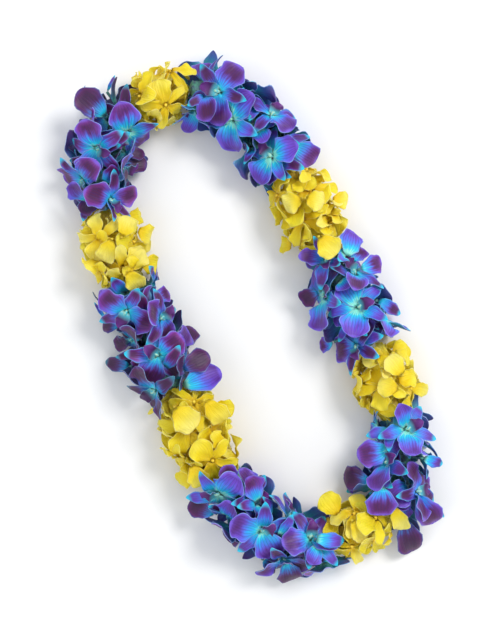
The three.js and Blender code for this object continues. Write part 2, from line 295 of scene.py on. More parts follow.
def settled(blade, basis, origin, spot, near):
    """The blade at its cheapest bend. Bends are tried from the smallest, and one is only tested for crossings
    while its own cost is under the best so far."""
    bent = dict(blade, tilt=(blade["tilt"] + BENDS)[:, None])
    bent["width"] = (blade["width"] * (1 - NARROWING * np.minimum(1, np.abs(BENDS))))[:, None]
    rim, keel = coarse_outline(bent)
    rim, keel = rim @ basis + origin, keel @ basis + origin
    root = np.array([0, 0, KEEL_DEPTH]) @ basis + origin
    worst = trespass(np.concatenate([rim, keel], axis=1), spot).max(-1)
    costs = BEND_COST * np.ceil(bend_steps / 2) + TRESPASS_COST * np.maximum(0, worst)
    pattern = strip(rim.shape[1] + 1)
    best = None
    for i, cost in enumerate(costs):
        if best and cost >= best["cost"]:
            continue
        facets = Facets(np.concatenate([root[None], rim[i]]), pattern)
        middle = keel[i, 0]
        total = cost + crossings(facets, middle, near)
        if best is None or total < best["cost"]:
            tilt, width = bent["tilt"][i, 0], bent["width"][i, 0]
            best = dict(cost=total, facets=facets, middle=middle, tilt=tilt, width=width)
    return dict(blade, **best)


def crossings(facets, middle, near):
    """How many of the blades laid nearby this one crosses, either way round."""
    close = np.flatnonzero(np.linalg.norm(near["middles"] - middle, axis=-1) < CROSSING_REACH)
    if not len(close):
        return 0
    others, owner = near["facets"], near["owner"]
    through = facets.pierces(others).any(0)
    back = others.pierces(facets).any(1)
    hit = set(owner[through]) | set(near["edge_owner"][back])
    return len(hit & set(close))


# %% [markdown]
# A bloom's frame has its face towards the viewer of the flower, its top towards the upper sepal, and its
# origin where the petals meet. The blades are settled in turn, and only when the roll is chosen do they join
# those that later blooms have to avoid.

# %% One bloom, at its best roll
def bloom_frame(spot, roll):
    """The bloom's frame as three rows and an origin, and its blades before they find room, at that roll."""
    bloom, kind = spot["bloom"], spot["kind"]
    radial, around = spot["radial"], np.cross(spot["ahead"], spot["radial"])
    size = spot["scale"] * (1 + SIZE_SPREAD * draw(bloom, "size"))
    stand = spot["stand"] * (1 + spot["layer"] * LAYER + STAND_SPREAD * draw(bloom, "stand"))
    lean, sideways = LEAN + LEAN_SPREAD * draw(bloom, "lean"), SIDEWAYS_SPREAD * draw(bloom, "sideways")
    face = unit(radial + spot["ahead"] * lean + around * sideways)
    right = -math.sin(roll) * spot["ahead"] + math.cos(roll) * around
    right = unit(right - (right @ face) * face)
    basis = np.stack([right, np.cross(face, right), face])
    blades = []
    for i, form in enumerate(spot["tepals"]):
        angle = math.pi / 2 + i * 2 * math.pi / len(TEPALS)
        roundness = math.sin(angle - math.pi / 2 + roll) ** 2
        blades.append(dict(
            form=form, angle=angle, throat=kind["throat"] * size, number=i, rise=0,
            length=kind[form][0] * size, width=kind[form][1] * size,
            tilt=spot["tilt"] + TILT_SPREAD * draw(bloom, "tilt", i),
            curl=CURL_ALONG + CURL_ROUND * roundness + CURL_SPREAD * draw(bloom, "curl", i),
        ))
    if kind["lip"] and spot["open"]:
        blades.append(dict(
            form="lip", angle=-math.pi / 2, throat=LIP_ROOT, number=len(TEPALS), rise=0,
            length=kind["lip"][0] * size, width=kind["lip"][1] * size,
            tilt=LIP_TILT + TILT_SPREAD * draw(bloom, "lip_tilt"), curl=LIP_CURL,
        ))
    origin = spot["point"] + radial * stand
    return dict(spot, size=size, stand=stand, basis=basis, origin=origin, blades=blades)


def bloom_at(spot, roll, near):
    """The bloom at that roll, with its blades where they come to lie."""
    made = bloom_frame(spot, roll)
    made["blades"] = [settled(blade, made["basis"], made["origin"], spot, near) for blade in made["blades"]]
    return made


def neighbourhood(laid, point):
    """The facets of the blades laid close enough to matter, with whose they are."""
    reach = 2 * CROSSING_REACH
    close = [blade for blade in laid if np.linalg.norm(blade["middle"] - point) < reach]
    if not close:
        return dict(middles=np.zeros((0, 3)), facets=None)
    triangles = [len(blade["facets"].normal) for blade in close]
    edges = [len(blade["facets"].starts) for blade in close]
    return dict(
        middles=np.array([blade["middle"] for blade in close]),
        facets=gathered([blade["facets"] for blade in close]),
        owner=np.repeat(np.arange(len(close)), triangles),
        edge_owner=np.repeat(np.arange(len(close)), edges),
    )


# %% [markdown]
# Blooms are strung in even steps with a little luck in each, and every bloom is turned on from the last by
# the golden angle, as fingers do without counting. That way no two neighbours look the same way, and the
# strand comes out round. Odd blooms stand a little lower and even ones a little higher. The same function
# later places the half-open blooms, with other steps and tilts.

# %% Every bloom along the string
def rolls_of(bloom, count):
    """The rolls to try: from a random one in even steps, until each tepal would take the next one's place."""
    step = math.radians(360 / len(TEPALS) / count)
    return [math.pi * draw(bloom, "roll") + step * k for k in range(count)]


def spots_along(band, step, margin, first, tilts, **shape):
    """The places of a row of blooms in a band, numbered from the first, with the tilts taken in turn."""
    room = band["end"] - band["start"] - 2 * margin
    count = round(room / step)
    spots = []
    for i in range(count):
        bloom = first + i
        distance = band["start"] + margin + (i + 0.5 + STEP_SPREAD * draw(bloom, "step")) * room / count
        point, ahead, outward = station(distance)
        turn = TURN_BETWEEN * bloom + TURN_SPREAD * draw(bloom, "turn")
        spots.append(dict(
            shape, bloom=bloom, band=band, kind=band["kind"], point=point, ahead=ahead,
            radial=UP * math.cos(turn) + outward * math.sin(turn), layer=-1 if bloom % 2 else 1,
            tilt=tilts[i % len(tilts)],
        ))
    return spots


laid = []
blooms = []
for band in bands:
    kind = band["kind"]
    shape = dict(scale=1, stand=kind["stand"], open=True, tepals=TEPALS)
    for spot in spots_along(band, kind["step"], kind["end_margin"], len(blooms) + 1, [TILT], **shape):
        near = neighbourhood(laid, spot["point"])
        tries = [bloom_at(spot, roll, near) for roll in rolls_of(spot["bloom"], ROLLS)]
        best = min(tries, key=lambda made: sum(blade["cost"] for blade in made["blades"]))
        laid += best["blades"]
        blooms.append(best)
crowded = sum(blade["cost"] >= 1 for blade in laid)
print(len(blooms), "blooms with", len(laid), "blades;", crowded, "still cross another or are out of bounds")

# %% [markdown]
# ## The fine blade
# A real petal is a thin sheet with a rim that waves. It could be a plane with a Solidify modifier, but the
# rim would then be square. Here it is a lens: two facing grids that share their rim, so the surface is
# closed, and the rim comes out thin.

# %% A lens-shaped grid
def lens_grid(rows, columns):
    """Two facing grids with a shared rim. Both run by the sine of an even step, so cells are small at the
    rim. Gives the share along, the share across from -1 to 1, the side (1 front, -1 back, 0 rim) and the
    triangles. The last row is one point, the tip, so triangles with no area there are left out."""
    along = np.sin(np.linspace(0, np.pi / 2, rows + 1))
    across = np.sin(np.linspace(-np.pi / 2, np.pi / 2, columns + 1))
    front = np.arange((rows + 1) * (columns + 1)).reshape(rows + 1, columns + 1)
    back = front.copy()
    inner = back[1:-1, 1:-1]
    back[1:-1, 1:-1] = front.size + np.arange(inner.size).reshape(inner.shape)
    for grid in (front, back):
        grid[-1] = front[-1, 0]
    share_along = np.repeat(along, columns + 1)
    share_across = np.tile(across, rows + 1)
    inside = np.zeros(front.shape, bool)
    inside[1:-1, 1:-1] = True
    keep = inside.ravel()
    side = np.concatenate([np.where(keep, 1.0, 0.0), -np.ones(inner.size)])
    triangles = []
    for grid, flip in ((front, 1), (back, -1)):
        a, b, c, d = (g.ravel() for g in (grid[:-1, :-1], grid[1:, :-1], grid[1:, 1:], grid[:-1, 1:]))
        triangles += [np.stack(t[::flip], axis=-1) for t in ((a, b, c), (a, c, d))]
    triangles = np.concatenate(triangles)
    distinct = (triangles[:, 0] != triangles[:, 1]) & (triangles[:, 1] != triangles[:, 2])
    triangles = triangles[distinct & (triangles[:, 0] != triangles[:, 2])]
    return dict(
        along=np.concatenate([share_along, share_along[keep]]),
        across=np.concatenate([share_across, share_across[keep]]),
        side=side, triangles=triangles,
    )


GRIDS = dict(petal=lens_grid(16, 14), sepal=lens_grid(16, 10), lip=lens_grid(14, 12))
HALF_OPEN_GRIDS = dict(petal=lens_grid(10, 8), sepal=lens_grid(10, 6))
TRIAL_GRIDS = dict(petal=lens_grid(7, 6), sepal=lens_grid(7, 4), lip=lens_grid(6, 6))
print({form: len(grid["triangles"]) for form, grid in GRIDS.items()}, "triangles a blade")

# %% [markdown]
# Each form has an outline: how wide the blade is along its length. It widens from a narrow claw as a quarter
# sine and closes as a quarter of a superellipse, and two exponents set how full or pointed it looks. The
# surface then adds what makes a petal look grown: a hollow, a folded side, a waving and nicked rim, a twist,
# a nodding tip, a crease down the middle and a little crumpling. Each is a wave or a power of the two shares.

# %% Outlines
OUTLINES = dict(
    blue=dict(
        petal=dict(claw=0.2, peak=0.58, blunt=2.1, close=1.8),
        sepal=dict(claw=0.42, peak=0.42, blunt=1.9, close=1.45),
        lip=dict(claw=0.5, peak=0.45, blunt=2.0, close=1.7),
    ),
    yellow=dict(
        petal=dict(claw=0.24, peak=0.6, blunt=2.6, close=2.1),
        sepal=dict(claw=0.36, peak=0.58, blunt=2.5, close=2.05),
    ),
)


def outline(shape, along):
    """The share of the half width at each share of the length."""
    rising = shape["claw"] + (1 - shape["claw"]) * np.sin(np.pi / 2 * np.minimum(along / shape["peak"], 1))
    past = np.clip((along - shape["peak"]) / (1 - shape["peak"]), 0, 1)
    return rising * (1 - past ** shape["blunt"]) ** (1 / shape["close"])


halfway = {colour: {form: round(float(outline(shape, 0.5)), 2) for form, shape in shapes.items()}
           for colour, shapes in OUTLINES.items()}
print("shares of the half width at half the length:", halfway)

# %% The surface of a blade
THICKNESS = dict(petal=0.5, sepal=0.6, lip=0.6)
WIDER = dict(blue=dict(petal=1.05, sepal=1.02, lip=1.04), yellow=dict(petal=1.16, sepal=1.34))
IN_FRONT = dict(petal=0.6, sepal=-0.6, lip=0)
CLAW_START = 1.2
LOWEST, LAST_GAP = 0.05, 0.1
RUFFLE = dict(blue=dict(petal=0.085, sepal=0.09, lip=0.12), yellow=dict(petal=0.12, sepal=0.13))
WAVES = dict(petal=1.7, sepal=1.3, lip=2.6)
WAVE_SLANT, TO_RIM = 0.35, 2.5
NICK, NICKS, NICK_APART = 0.09, 2.3, 2
FOLD, FOLD_FROM = 0.48, 0.3
TWIST = 0.18
NOD, NOD_FROM = 0.35, 0.55
CREASE, CREASE_WIDTH = -0.35, 0.16
CRUMPLE = dict(blue=0.018, yellow=0.028)
CRUMPLE_ALONG, CRUMPLE_ACROSS, CRUMPLE_SHIFT = 9, 5, 6


def blade_surface(blade, bloom, colour, grid):
    """The fine blade's points in the bloom's frame. Its sides rise with the square of the distance from the
    middle and one of them folds further, its rim waves along its length, it twists a little, its tip nods,
    and two crossed waves crumple it. The grid's two sides stand half the thickness off the middle surface."""
    form = blade["form"]
    along, across = grid["along"], grid["across"]
    ruffled, slanted, twisted, shifted_along, folded, nicked, nodding, shifted_across = (
        draw(bloom, "surface", 10 * k + blade["number"]) for k in range(8)
    )
    hand = 1 if folded > 0 else -1
    nick = np.sin(2 * np.pi * (NICKS * along + nicked) + NICK_APART * np.sign(across))
    half = outline(OUTLINES[colour][form], along) * (1 + NICK * nick * np.abs(across) ** 2)
    width = blade["width"] * WIDER[colour][form]
    first = (CLAW_START - blade["throat"]) / (blade["length"] - blade["throat"]) if form != "lip" else 0
    cup = CUPS[form] * 0.5 * width * (half * across) ** 2
    folding = np.maximum(0, hand * across) ** TO_RIM
    fold = FOLD * max(0, abs(folded) - FOLD_FROM) * width * half * folding * along
    phase = WAVES[form] * along + ruffled + WAVE_SLANT * across * (1 + 0.5 * slanted)
    wave = RUFFLE[colour][form] * width * half * np.abs(across) ** TO_RIM * np.sin(2 * np.pi * phase)
    twist = TWIST * twisted * width * 0.5 * half * across * along
    nod = NOD * nodding * blade["length"] * np.maximum(0, along - NOD_FROM) ** 2
    crease = CREASE * np.exp(-((across / CREASE_WIDTH) ** 2)) * (1 - along) * half
    down, over = CRUMPLE_ALONG * along + CRUMPLE_SHIFT * shifted_along, CRUMPLE_ACROSS * across
    crumple = CRUMPLE[colour] * width * np.sin(down) * np.cos(over + CRUMPLE_SHIFT * shifted_across)
    lift = cup + fold + wave + twist + nod + crease + crumple + IN_FRONT[form]
    lift = lift + grid["side"] * THICKNESS[form] / 2
    return place(blade, first + (1 - first) * along, 0.5 * half * across, lift)


def laid_points(blade, made, grid):
    """The fine blade's points in the lei's frame. Points that would be under the table are pressed flat on
    it, the back side just over the table and the front side just over the back."""
    points = blade_surface(blade, made["bloom"], made["kind"]["colour"], grid)
    points = points @ made["basis"] + made["origin"]
    points[:, 2] = np.maximum(points[:, 2], LOWEST + LAST_GAP * (1 + grid["side"]))
    return points


points = laid_points(blooms[0]["blades"][0], blooms[0], GRIDS["sepal"])
print("the first blade is", np.ptp(points, axis=0).round(1), "mm across, deep and high")

# %% [markdown]
# ## Columns, stalks and packed bases
# In the middle of an orchid stands its column, with a pale cap on the tip. Behind the petals a stalk runs to
# the string. Both are round sections carried along a short path, so one function makes them, as rings of
# points joined into a closed skin.

# %% A round skin along a path
def round_skin(path, radii, sides):
    """Rings of the given radii round the path's points, joined, with a point at each end. Each ring lies
    square to the path and keeps one reference direction. Gives the points, the triangles and each point's
    share of the path."""
    path, radii = np.asarray(path, float), np.asarray(radii, float)
    way = unit(np.gradient(path, axis=0))
    reference = np.array([0.0, 0.0, 1.0]) if abs(way[0, 2]) < 0.8 else np.array([1.0, 0.0, 0.0])
    first = unit(np.cross(way, reference))
    second = np.cross(way, first)
    turn = np.linspace(0, 2 * np.pi, sides, endpoint=False)
    rings = np.cos(turn)[None, :, None] * first[:, None] + np.sin(turn)[None, :, None] * second[:, None]
    points = (path[:, None] + radii[:, None, None] * rings).reshape(-1, 3)
    points = np.concatenate([points, path[:1], path[-1:]])
    number = np.arange(len(path) * sides).reshape(len(path), sides)
    after = np.roll(number, -1, axis=1)
    a, b, c, d = (g.ravel() for g in (number[:-1], number[1:], after[1:], after[:-1]))
    low, high = len(points) - 2, len(points) - 1
    caps = [
        np.stack([np.full(sides, low), number[0], after[0]], axis=-1),
        np.stack([np.full(sides, high), after[-1], number[-1]], axis=-1),
    ]
    triangles = np.concatenate([np.stack([a, b, c], axis=-1), np.stack([a, c, d], axis=-1), *caps])
    share = np.concatenate([np.repeat(np.linspace(0, 1, len(path)), sides), [0, 1]])
    return points, triangles, share


COLUMN_SIDES, COLUMN_RINGS = 8, 8
COLUMN_REACH, COLUMN_RADIUS, COLUMN_TIP = 6.5, 1.5, 0.12
COLUMN_SHARE = dict(blue=1.0, yellow=0.6)
COLUMN_BEHIND, COLUMN_LEAN, COLUMN_ARCH = -1.5, -0.6, 0.3
STALK_SIDES, STALK_RINGS, STALK_RADIUS = 6, 8, 1.3
STALK_BEHIND, STALK_SAG, STALK_TOP, STALK_TAPER = -0.5, 1.2, 1.5, 0.8
STALK_INSIDE = 3


def column_skin(made):
    """A peg that leans over the lip: it starts behind the petals, arches forward and ends in a round cap.
    Its radius swells by a sine past its middle and closes as a steep power of the share."""
    share = np.linspace(0, 1, COLUMN_RINGS)
    reach = COLUMN_REACH * made["size"] * COLUMN_SHARE[made["kind"]["colour"]]
    out = COLUMN_BEHIND + reach * share * (1 - COLUMN_ARCH * share)
    path = np.stack([0 * share, COLUMN_LEAN * reach * share**2, out], axis=-1)
    swell = 0.8 + 0.35 * np.sin(np.pi * share**1.6)
    radii = COLUMN_RADIUS * swell * np.sqrt(np.clip(1 - share**8, 0, 1))
    return round_skin(path @ made["basis"] + made["origin"], np.maximum(radii, COLUMN_TIP), COLUMN_SIDES)


def stalk_skin(made):
    """The stalk, from the bloom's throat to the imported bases. It sags sideways by half a sine, and narrows
    with the square root of the share."""
    share = np.linspace(0, 1, STALK_RINGS)
    depth = made["stand"] - made["kind"]["bases_radius"] + STALK_INSIDE
    sag = STALK_SAG * draw(made["bloom"], "sag") * np.sin(np.pi * share)
    path = np.stack([sag, 0 * share, STALK_BEHIND - depth * share], axis=-1)
    radii = STALK_RADIUS * (STALK_TOP - STALK_TAPER * np.sqrt(share))
    return round_skin(path @ made["basis"] + made["origin"], radii, STALK_SIDES)


print(len(column_skin(blooms[0])[1]), "triangles a column,", len(stalk_skin(blooms[0])[1]), "a stalk")

# %% [markdown]
# Some blooms sit askew, so that one of their petals or a sepal stands out of the strand, and these give the
# lei its ragged outline. Each is read off the picture as a root and a tip: column, row, and a guessed height
# over the table in millimetres. Its width is in millimetres too, and the last word is its tone. The camera's
# place and lens turn columns and rows into millimetres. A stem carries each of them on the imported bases.

# %% The camera's place and lens
PICTURE_TURN = math.radians(-24.76)
PICTURE_RIGHT = np.array([math.cos(PICTURE_TURN), math.sin(PICTURE_TURN), 0])
PICTURE_UP = np.array([-math.sin(PICTURE_TURN), math.cos(PICTURE_TURN), 0])
PICTURE_MIDDLE = np.array([-8.9, 1.1, 0])
PICTURE_COLUMNS, PICTURE_ROWS = 480, 640
CAMERA_HEIGHT, LENS, SENSOR = 1290, 81, 36


def picture_point(column, row, height):
    """The point at that height which the camera sees at a place in the picture: steps off the picture's
    middle, each as long as a pixel is at that distance from the lens."""
    step = (CAMERA_HEIGHT - height) * SENSOR / (LENS * PICTURE_ROWS)
    right, up = (column - PICTURE_COLUMNS / 2) * step, (PICTURE_ROWS / 2 - row) * step
    return PICTURE_MIDDLE + right * PICTURE_RIGHT + up * PICTURE_UP + height * UP


print("the picture's middle sees", picture_point(PICTURE_COLUMNS / 2, PICTURE_ROWS / 2, 0).round(1))

# %% Which petals stand out
DARK, MIXED, CLEAR, PALE = 1.0, 0.3, -0.4, -1.2
STRAYS = [
    ("blue", "petal", (182, 386, 34), (221, 371, 30), 23, CLEAR),
    ("blue", "petal", (182, 370, 30), (205, 350, 26), 21, DARK),
    ("blue", "petal", (178, 346, 30), (195, 321, 24), 19, DARK),
    ("blue", "sepal", (128, 367, 20), (102, 361, 12), 14, DARK),
    ("blue", "sepal", (106, 320, 20), (94, 302, 16), 3.5, CLEAR),
    ("blue", "petal", (120, 326, 18), (101, 324, 10), 15, DARK),
    ("blue", "petal", (134, 340, 18), (116, 345, 10), 14, DARK),
    ("blue", "petal", (108, 118, 32), (76, 101, 28), 25, DARK),
    ("blue", "petal", (94, 126, 20), (71, 121, 14), 18, DARK),
    ("blue", "sepal", (107, 92, 20), (115, 75, 16), 3.5, CLEAR),
    ("blue", "petal", (120, 160, 20), (146, 171, 12), 18, DARK),
    ("blue", "petal", (290, 145, 34), (319, 161, 26), 22, MIXED),
    ("blue", "petal", (356, 270, 28), (381, 265, 20), 18, MIXED),
    ("blue", "sepal", (378, 300, 26), (403, 315, 16), 12, MIXED),
    ("blue", "petal", (370, 480, 26), (339, 476, 18), 22, DARK),
    ("blue", "sepal", (368, 480, 20), (346, 493, 12), 10, CLEAR),
    ("blue", "petal", (390, 448, 30), (356, 454, 22), 27, MIXED),
    ("blue", "petal", (402, 516, 20), (413, 555, 8), 24, DARK),
    ("blue", "petal", (417, 495, 36), (430, 531, 30), 24, MIXED),
    ("blue", "sepal", (426, 500, 18), (447, 520, 10), 8, CLEAR),
    ("blue", "sepal", (420, 456, 30), (440, 468, 24), 11, CLEAR),
    ("blue", "petal", (155, 300, 24), (171, 291, 18), 15, MIXED),
    ("blue", "petal", (218, 514, 22), (192, 501, 14), 18, DARK),
    ("blue", "petal", (240, 532, 24), (214, 538, 12), 20, DARK),
    ("blue", "petal", (286, 556, 18), (291, 582, 8), 23, DARK),
    ("blue", "petal", (322, 290, 20), (304, 300, 12), 18, DARK),
    ("blue", "petal", (381, 486, 50), (378, 516, 46), 28, MIXED),
    ("blue", "sepal", (314, 537, 44), (345, 544, 42), 14, PALE),
    ("blue", "petal", (352, 262, 30), (362, 247, 24), 17, MIXED),
    ("blue", "petal", (262, 560, 20), (279, 567, 8), 16, DARK),
    ("blue", "petal", (236, 478, 34), (224, 462, 38), 17, MIXED),
    ("blue", "petal", (334, 342, 20), (319, 346, 12), 14, MIXED),
    ("yellow", "petal", (340, 516, 26), (328, 494, 18), 21, MIXED),
    ("yellow", "petal", (358, 514, 28), (352, 490, 20), 20, CLEAR),
    ("yellow", "sepal", (380, 403, 20), (362, 420, 10), 10, MIXED),
    ("yellow", "petal", (406, 384, 22), (427, 397, 12), 13, CLEAR),
    ("yellow", "petal", (392, 356, 24), (408, 345, 18), 19, MIXED),
    ("yellow", "petal", (134, 228, 26), (151, 236, 18), 18, CLEAR),
    ("yellow", "petal", (126, 219, 26), (145, 215, 18), 15, MIXED),
    ("yellow", "petal", (136, 262, 24), (155, 269, 16), 18, MIXED),
    ("yellow", "petal", (208, 404, 24), (226, 410, 14), 17, MIXED),
    ("yellow", "sepal", (163, 402, 18), (147, 415, 8), 4, CLEAR),
    ("yellow", "petal", (196, 474, 22), (177, 482, 12), 17, MIXED),
    ("yellow", "petal", (293, 246, 22), (280, 245, 12), 16, MIXED),
    ("yellow", "petal", (326, 200, 22), (345, 201, 12), 16, CLEAR),
    ("yellow", "petal", (403, 375, 50), (388, 357, 52), 18, PALE),
    ("yellow", "petal", (399, 389, 48), (378, 385, 50), 18, CLEAR),
    ("yellow", "petal", (302, 198, 50), (283, 206, 48), 19, PALE),
    ("yellow", "petal", (303, 198, 50), (320, 205, 46), 18, PALE),
    ("yellow", "petal", (317, 236, 50), (334, 254, 46), 22, CLEAR),
    ("yellow", "petal", (112, 239, 50), (106, 263, 46), 18, PALE),
    ("yellow", "petal", (122, 237, 50), (131, 216, 50), 18, PALE),
    ("yellow", "petal", (127, 271, 46), (141, 290, 42), 18, PALE),
    ("yellow", "petal", (174, 407, 50), (195, 429, 48), 25, PALE),
    ("yellow", "petal", (205, 400, 46), (223, 424, 38), 20, CLEAR),
    ("yellow", "petal", (191, 465, 44), (203, 487, 40), 19, CLEAR),
    ("yellow", "petal", (352, 520, 50), (363, 544, 48), 15, PALE),
    ("yellow", "petal", (393, 506, 44), (404, 531, 38), 15, PALE),
    ("yellow", "petal", (166, 88, 40), (162, 66, 32), 20, CLEAR),
    ("blue", "petal", (412, 476, 26), (435, 491, 16), 21, MIXED),
    ("blue", "petal", (95, 188, 22), (70, 192, 14), 22, DARK),
    ("blue", "petal", (124, 152, 20), (152, 150, 14), 15, DARK),
]
print({colour: sum(row[0] == colour for row in STRAYS) for colour in ("blue", "yellow")}, "rows")

# %% From each row a petal on a stem
STRAY_FIRST = 3000
STRAY_TILT, STRAY_CURL, STRAY_CURL_SPREAD = math.radians(12), math.radians(45), 0.4
STEM_RADII = (1.3, 0.9)
BAND_SAMPLES = 50


def standing_out(bloom, colour, form, root, tip, width, tone):
    """A bloom of one blade from its root to its tip, face up, in the nearest band of its colour."""
    root, tip = picture_point(*root), picture_point(*tip)
    choices = []
    for band in (b for b in bands if b["kind"]["colour"] == colour):
        run = np.linspace(band["start"] + BASES_MARGIN, band["end"] - BASES_MARGIN, BAND_SAMPLES)
        away = np.linalg.norm(string_point(run) - root, axis=-1)
        choices.append((away.min(), run[away.argmin()], band["number"], band))
    _, distance, _, band = min(choices, key=lambda choice: choice[:3])
    point, ahead, _ = station(distance)
    forward = unit(tip - root)
    face = unit(UP - (UP @ forward) * forward)
    blade = dict(
        form=form, angle=0, throat=0, number=0, rise=0, length=np.linalg.norm(tip - root), width=width,
        tilt=STRAY_TILT, curl=STRAY_CURL * (1 + STRAY_CURL_SPREAD * draw(bloom, "stray_curl")),
    )
    return dict(
        bloom=bloom, band=band, kind=band["kind"], point=point, ahead=ahead, origin=root, open=False,
        tone=tone, basis=np.stack([forward, np.cross(face, forward), face]), blades=[blade],
    )


def stem_skin(made):
    """A straight stem from the blade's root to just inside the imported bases."""
    share = np.linspace(0, 1, STALK_RINGS)[:, None]
    root = made["origin"] + made["blades"][0]["rise"] * made["basis"][2]
    away = root - made["point"]
    foot = made["point"] + unit(away) * (made["kind"]["bases_radius"] - STALK_INSIDE)
    radii = STEM_RADII[0] + (STEM_RADII[1] - STEM_RADII[0]) * share[:, 0]
    return round_skin(root + (foot - root) * share, radii, STALK_SIDES)


strays = [standing_out(STRAY_FIRST + i, *row) for i, row in enumerate(STRAYS)]
print(len(strays), "petals stand out")

# %% [markdown]
# ## No petal through another
# The coarse outlines of two blades can pass each other while their waved surfaces still touch. So each fine
# blade is tried again, on a light copy of its mesh, against bounding-volume trees of all the others. Several
# sweeps go over the lei. In each, a blade that touches another tries small bends and swings, and one that
# stands out also tries to rise or sink. In the last sweep those that still touch are made a little smaller.

# %% What space is taken
MOST_SURFACES = 4000


class Taken:
    """The surfaces laid so far, each with its bloom, its box and its tree."""

    def __init__(self):
        self.low, self.high = np.zeros((MOST_SURFACES, 3)), np.zeros((MOST_SURFACES, 3))
        self.bloom, self.trees = np.zeros(MOST_SURFACES, int), []

    def hits(self, bloom, points, tree):
        """How many pairs of facets cross between the surface and those of other blooms."""
        count = len(self.trees)
        apart = (self.low[:count] > points.max(0)).any(1) | (self.high[:count] < points.min(0)).any(1)
        others = np.flatnonzero(~apart & (self.bloom[:count] != bloom))
        return sum(len(self.trees[k].overlap(tree)) for k in others)

    def put(self, number, bloom, points, tree):
        """Lays the surface at that number, in place of an older one or behind the last."""
        self.low[number], self.high[number], self.bloom[number] = points.min(0), points.max(0), bloom
        self.trees[number:number + 1] = [tree]


def tree_of(points, triangles):
    """The surface's bounding-volume tree."""
    return BVHTree.FromPolygons(points.tolist(), triangles.tolist())


def trial(blade, made, bend=0, swing=0, rise=0, size=1):
    """The blade bent, swung, raised and scaled by so much, with the points and tree of its light copy."""
    bent = dict(blade, tilt=blade["tilt"] + bend, angle=blade["angle"] + swing, rise=rise)
    bent.update(length=blade["length"] * size, width=blade["width"] * size)
    grid = TRIAL_GRIDS[blade["form"]]
    points = laid_points(bent, made, grid)
    return bent, points, tree_of(points, grid["triangles"])


# %% Free the open blooms' blades
OPEN_BENDS = np.radians([0, 3, -3, 6, -6, 10, -10, 14, -14])
OPEN_SWINGS = np.radians([0, 7, -7])
STRAY_BENDS = np.radians([0, 6, -6, 12, -12, 20, 28])
STRAY_SWINGS = np.radians([0, 6, -6, 12, -12])
STRAY_RISES = [0, 4, -4, 8, -8]
RISE_EFFORT = 0.03
SWEEP_SIZES = [(1,), (1,), (1,), (0.92, 0.84, 0.76)]


def moves(bends, swings, rises):
    """Each bend with each swing and rise, the smallest first. A rise counts by its effort in radians."""
    every = [(bend, swing, rise) for bend in bends for swing in swings for rise in rises]
    return sorted(every, key=lambda move: abs(move[0]) + abs(move[1]) + RISE_EFFORT * abs(move[2]))


MOVES, STRAY_MOVES = moves(OPEN_BENDS, OPEN_SWINGS, [0]), moves(STRAY_BENDS, STRAY_SWINGS, STRAY_RISES)
taken = Taken()
for made in blooms + strays:
    made["first"] = len(taken.trees)
    made["lies"] = [trial(blade, made) for blade in made["blades"]]
    surfaces = [(points, tree) for _, points, tree in made["lies"]]
    if made["open"]:
        points, triangles, _ = column_skin(made)
        surfaces.append((points, tree_of(points, triangles)))
    for surface in surfaces:
        taken.put(len(taken.trees), made["bloom"], *surface)
for sweep, sizes in enumerate(SWEEP_SIZES):
    touching = 0
    for made in blooms + strays:
        choices = [(*move, size) for size in sizes for move in (MOVES if made["open"] else STRAY_MOVES)]
        for i, blade in enumerate(made["blades"]):
            bloom, best = made["bloom"], made["lies"][i]
            fewest = taken.hits(bloom, *best[1:])
            for move in choices if fewest else []:
                moved = trial(blade, made, *move)
                hits = taken.hits(bloom, *moved[1:])
                if hits < fewest:
                    fewest, best = hits, moved
                if not hits:
                    break
            made["lies"][i] = best
            taken.put(made["first"] + i, bloom, *best[1:])
            touching += fewest > 0
    print("sweep", sweep + 1, "leaves", touching, "blades that touch another bloom's")
for made in blooms + strays:
    made["blades"] = [lie[0] for lie in made["lies"]]

# %% [markdown]
# Between the open blooms sit half-open ones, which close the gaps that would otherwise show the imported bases.
# They sit closer to the string and their petals are steep, by two tilts in turn. They come in rows at two or
# three heights. Of each one's petals only those are kept that touch nothing, with a few bends and two sizes
# tried, and of two rolls the one that keeps more petals is taken.

# %% Half-open blooms in the gaps
FILLER_FIRST = 1000
FILLER_ROLLS = 2
FILLER_MOVES = [(math.radians(bend), 0, 0, size) for size in (1, 0.75) for bend in (0, 9, -9, 18, -18)]
FILLER_TRESPASS = 2
FILLER_TEPALS = dict(blue=TEPALS, yellow=["petal"] * len(TEPALS))
FILLERS = dict(
    blue=[
        dict(step=5.0, stand=10.5, scale=0.9, tilts=(30, 52)),
        dict(step=4.5, stand=16.0, scale=0.85, tilts=(12, 40)),
    ],
    yellow=[
        dict(step=4.0, stand=10.5, scale=0.92, tilts=(34, 56)),
        dict(step=2.6, stand=15.0, scale=0.82, tilts=(18, 44)),
        dict(step=3.2, stand=18.5, scale=0.72, tilts=(8, 36)),
    ],
)


def half_open(spot, roll):
    """The half-open bloom at that roll, with only the blades that find room, and their surfaces."""
    made = bloom_frame(spot, roll)
    kept, surfaces = [], []
    for blade in made["blades"]:
        for move in FILLER_MOVES:
            bent, points, tree = trial(blade, made, *move)
            if trespass(points, spot).max() < FILLER_TRESPASS and not taken.hits(made["bloom"], points, tree):
                kept.append(bent)
                surfaces.append((points, tree))
                break
    return dict(made, blades=kept), surfaces


